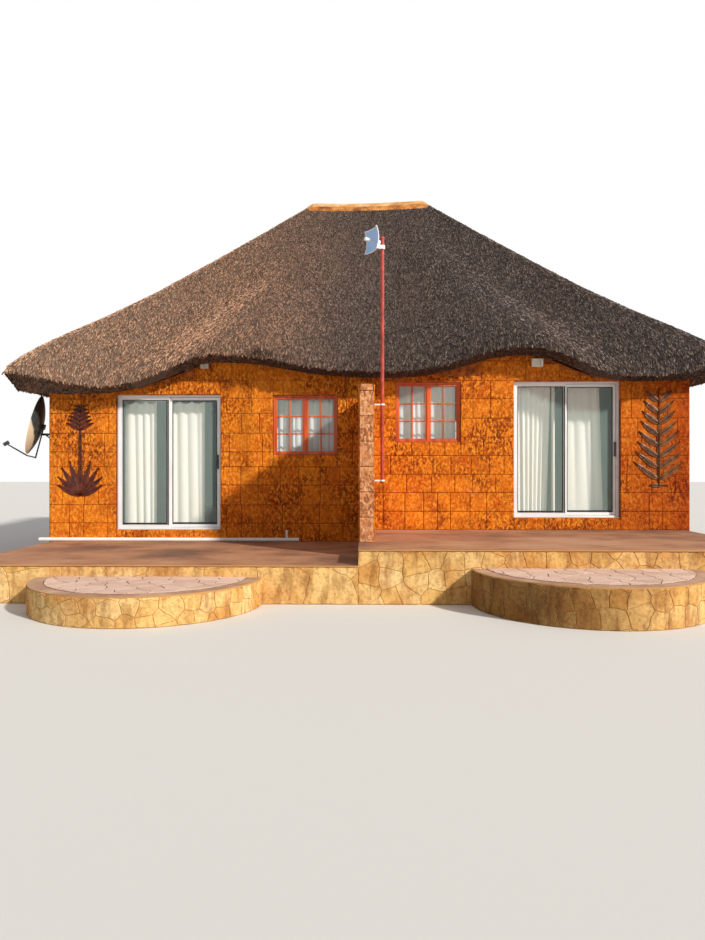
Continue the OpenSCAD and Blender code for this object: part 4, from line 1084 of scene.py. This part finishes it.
# Lamps over the doors: square bulkheads moulded in white polycarbonate and screwed to the
# blocks, their lenses yellowed a little by the sun.
lamp_white = mottled("aged_polycarbonate", [(0.3, "#D4D0BE"), (0.7, "#ECEADC")], (9, 4), Roughness=0.35)
paint(["door_lamps"], lamp_white)

# Reliefs: leaves carved in clay, fired and waxed dark brown, each leaf with a raised rib.
# They are pinned to the cladding beside the doors.
clays = {side: mottled(side + "_waxed_clay", tones, (11, 6), (70, 5), 0.003,
                       Roughness=0.36, Specular_IOR_Level=0.35)
         for side, tones in (("left", [(0.3, "#32120A"), (0.55, "#5A2414"), (0.8, "#7C3A24")]),
                             ("right", [(0.3, "#42240E"), (0.55, "#6E401C"), (0.8, "#9C6A38")]))}


def leaf_grid(points, faces, foot, length, width, bend, turn, thick):
    """Adds one carved leaf: a raised rib along it, falling to thin edges, closed to the wall."""
    across = (-1, -0.55, -0.16, 0, 0.16, 0.55, 1)
    height = (0.66, 0.84, 0.72, 1, 0.72, 0.84, 0.66)
    start, steps, wide = len(points), 14, len(across)
    cos, sin = math.cos(math.radians(turn)), math.sin(math.radians(turn))
    for layer in (1, 0):
        for k in range(steps + 1):
            u = k / steps
            half = width * math.sin(math.pi * u ** 0.7) / 2 + 0.003
            groove = 1 - 0.08 * (k % 2)
            for s, h in zip(across, height):
                a, b = u * length, bend * u * u + s * half
                out = thick * (h if abs(s) < 0.1 else h * groove) * (1 - 0.1 * u) if layer else -0.001
                points.append((foot[0] + a * cos - b * sin, front_y - out, foot[1] + a * sin + b * cos))
    size = (steps + 1) * wide
    for k in range(steps):
        for c in range(wide - 1):
            a = start + k * wide + c
            faces.append((a, a + 1, a + wide + 1, a + wide))
            faces.append((a + size + wide, a + size + wide + 1, a + size + 1, a + size))
    rim = ([(start + c, start + c + 1) for c in range(wide - 1)]
           + [(start + k * wide + wide - 1, start + (k + 1) * wide + wide - 1) for k in range(steps)]
           + [(start + steps * wide + c + 1, start + steps * wide + c) for c in range(wide - 1)]
           + [(start + (k + 1) * wide, start + k * wide) for k in range(steps)])
    faces += [(b, a, a + size, b + size) for a, b in rim]


def carve(side, leaves):
    """One relief of leaves, each (foot, length, width, bend, turn in degrees)."""
    name, thick = side + "_leaf_relief", front_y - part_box(side + "_relief")[0][1]
    points, faces = [], []
    for leaf in leaves:
        leaf_grid(points, faces, *leaf, thick)
    mesh = bpy.data.meshes.new(name)
    mesh.from_pydata(points, [], faces)
    made = new_piece(name, mesh, clays[side])
    take_up(made)
    bpy.ops.object.mode_set(mode="EDIT")
    bpy.ops.mesh.select_all(action="SELECT")
    bpy.ops.mesh.normals_make_consistent(inside=False)
    bpy.ops.object.mode_set(mode="OBJECT")
    bpy.ops.object.shade_smooth_by_angle(angle=math.radians(32))
    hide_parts(f"{side}_relief")


def stem(x, z, side):
    """A straight stem from its foot to the relief's top, with a short leaf that lies across it."""
    return [((x, z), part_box(side + "_relief")[1][2] - z, 0.05, 0, 90),
            ((x - 0.15, z + 0.028), 0.30, 0.055, 0, 0)]


# left: a fan of nine long leaves at the foot and six pairs of short ones up the stem
x, z = -4.57, 1.18
leaves = [((x, z + 0.02), 0.40 + 0.19 * math.sin(math.radians(22.5 * k)), 0.096, (k - 4) * -0.014,
           16 + 18.5 * k) for k in range(9)]
leaves += [((x, z + 1.06 + 0.072 * k), 0.25 - 0.032 * k, 0.066, -0.03 * s, 90 - 56 * s)
           for k in range(6) for s in (-1, 1)]
carve("left", leaves + stem(x, z, "left"))
# right: eight pairs of leaves that shorten up the stem
x, z = 4.59, 1.33
leaves = [((x, z + 0.12 + 0.175 * k), 0.48 - 0.03 * k, 0.088, s * 0.05, 30 if s > 0 else 150)
          for k in range(8) for s in (-1, 1)]
carve("right", leaves + stem(x, z, "right"))

# Drain pipe: white extruded PVC along the foot of the left wall, with a short upright branch,
# smooth and a little dulled by dust.
white_pvc = mottled("white_pvc", [(0.3, "#E4E2DC"), (0.7, "#F6F5F2")], (5, 4), (80, 3), 0.0006,
                    Roughness=0.35)
paint(["drain_pipe"], white_pvc)

# Stage: a pale floor and soft studio light with its key from the right front; the backdrop is
# white for the camera and in reflections.
bpy.ops.mesh.primitive_plane_add(size=160, location=(0, 0, -0.002))
floor = bpy.context.object
floor.name = "studio_floor"
pale = new_material("pale_floor", Base_Color=linear("#DDDBD6"), Roughness=0.95)[0]
floor.data.materials.append(pale)

world = bpy.data.worlds.new("studio")
bpy.context.scene.world = world
world.use_nodes = True
tree = world.node_tree
fill = tree.nodes["Background"]
fill.inputs["Color"].default_value = linear("#F1F3F8")
fill.inputs["Strength"].default_value = 0.44
white = add(tree, "Background", {"Color": (1, 1, 1, 1), "Strength": 1.0})
seen = add(tree, "LightPath", out="Is Camera Ray")
for ray in ("Is Glossy Ray", "Is Transmission Ray"):
    seen = add(tree, "Math", {0: seen, 1: add(tree, "LightPath", out=ray)}, operation="MAXIMUM")
tree.links.new(add(tree, "MixShader", {0: seen, 1: fill.outputs[0], 2: white}),
               tree.nodes["World Output"].inputs["Surface"])

bpy.ops.object.light_add(type="SUN", rotation=(math.radians(61), 0, math.radians(50)))
key = bpy.context.object
key.data.energy = 4.1
key.data.angle = math.radians(3)
key.data.color = (1.0, 0.95, 0.88)

bpy.context.scene.view_settings.view_transform = "Standard"
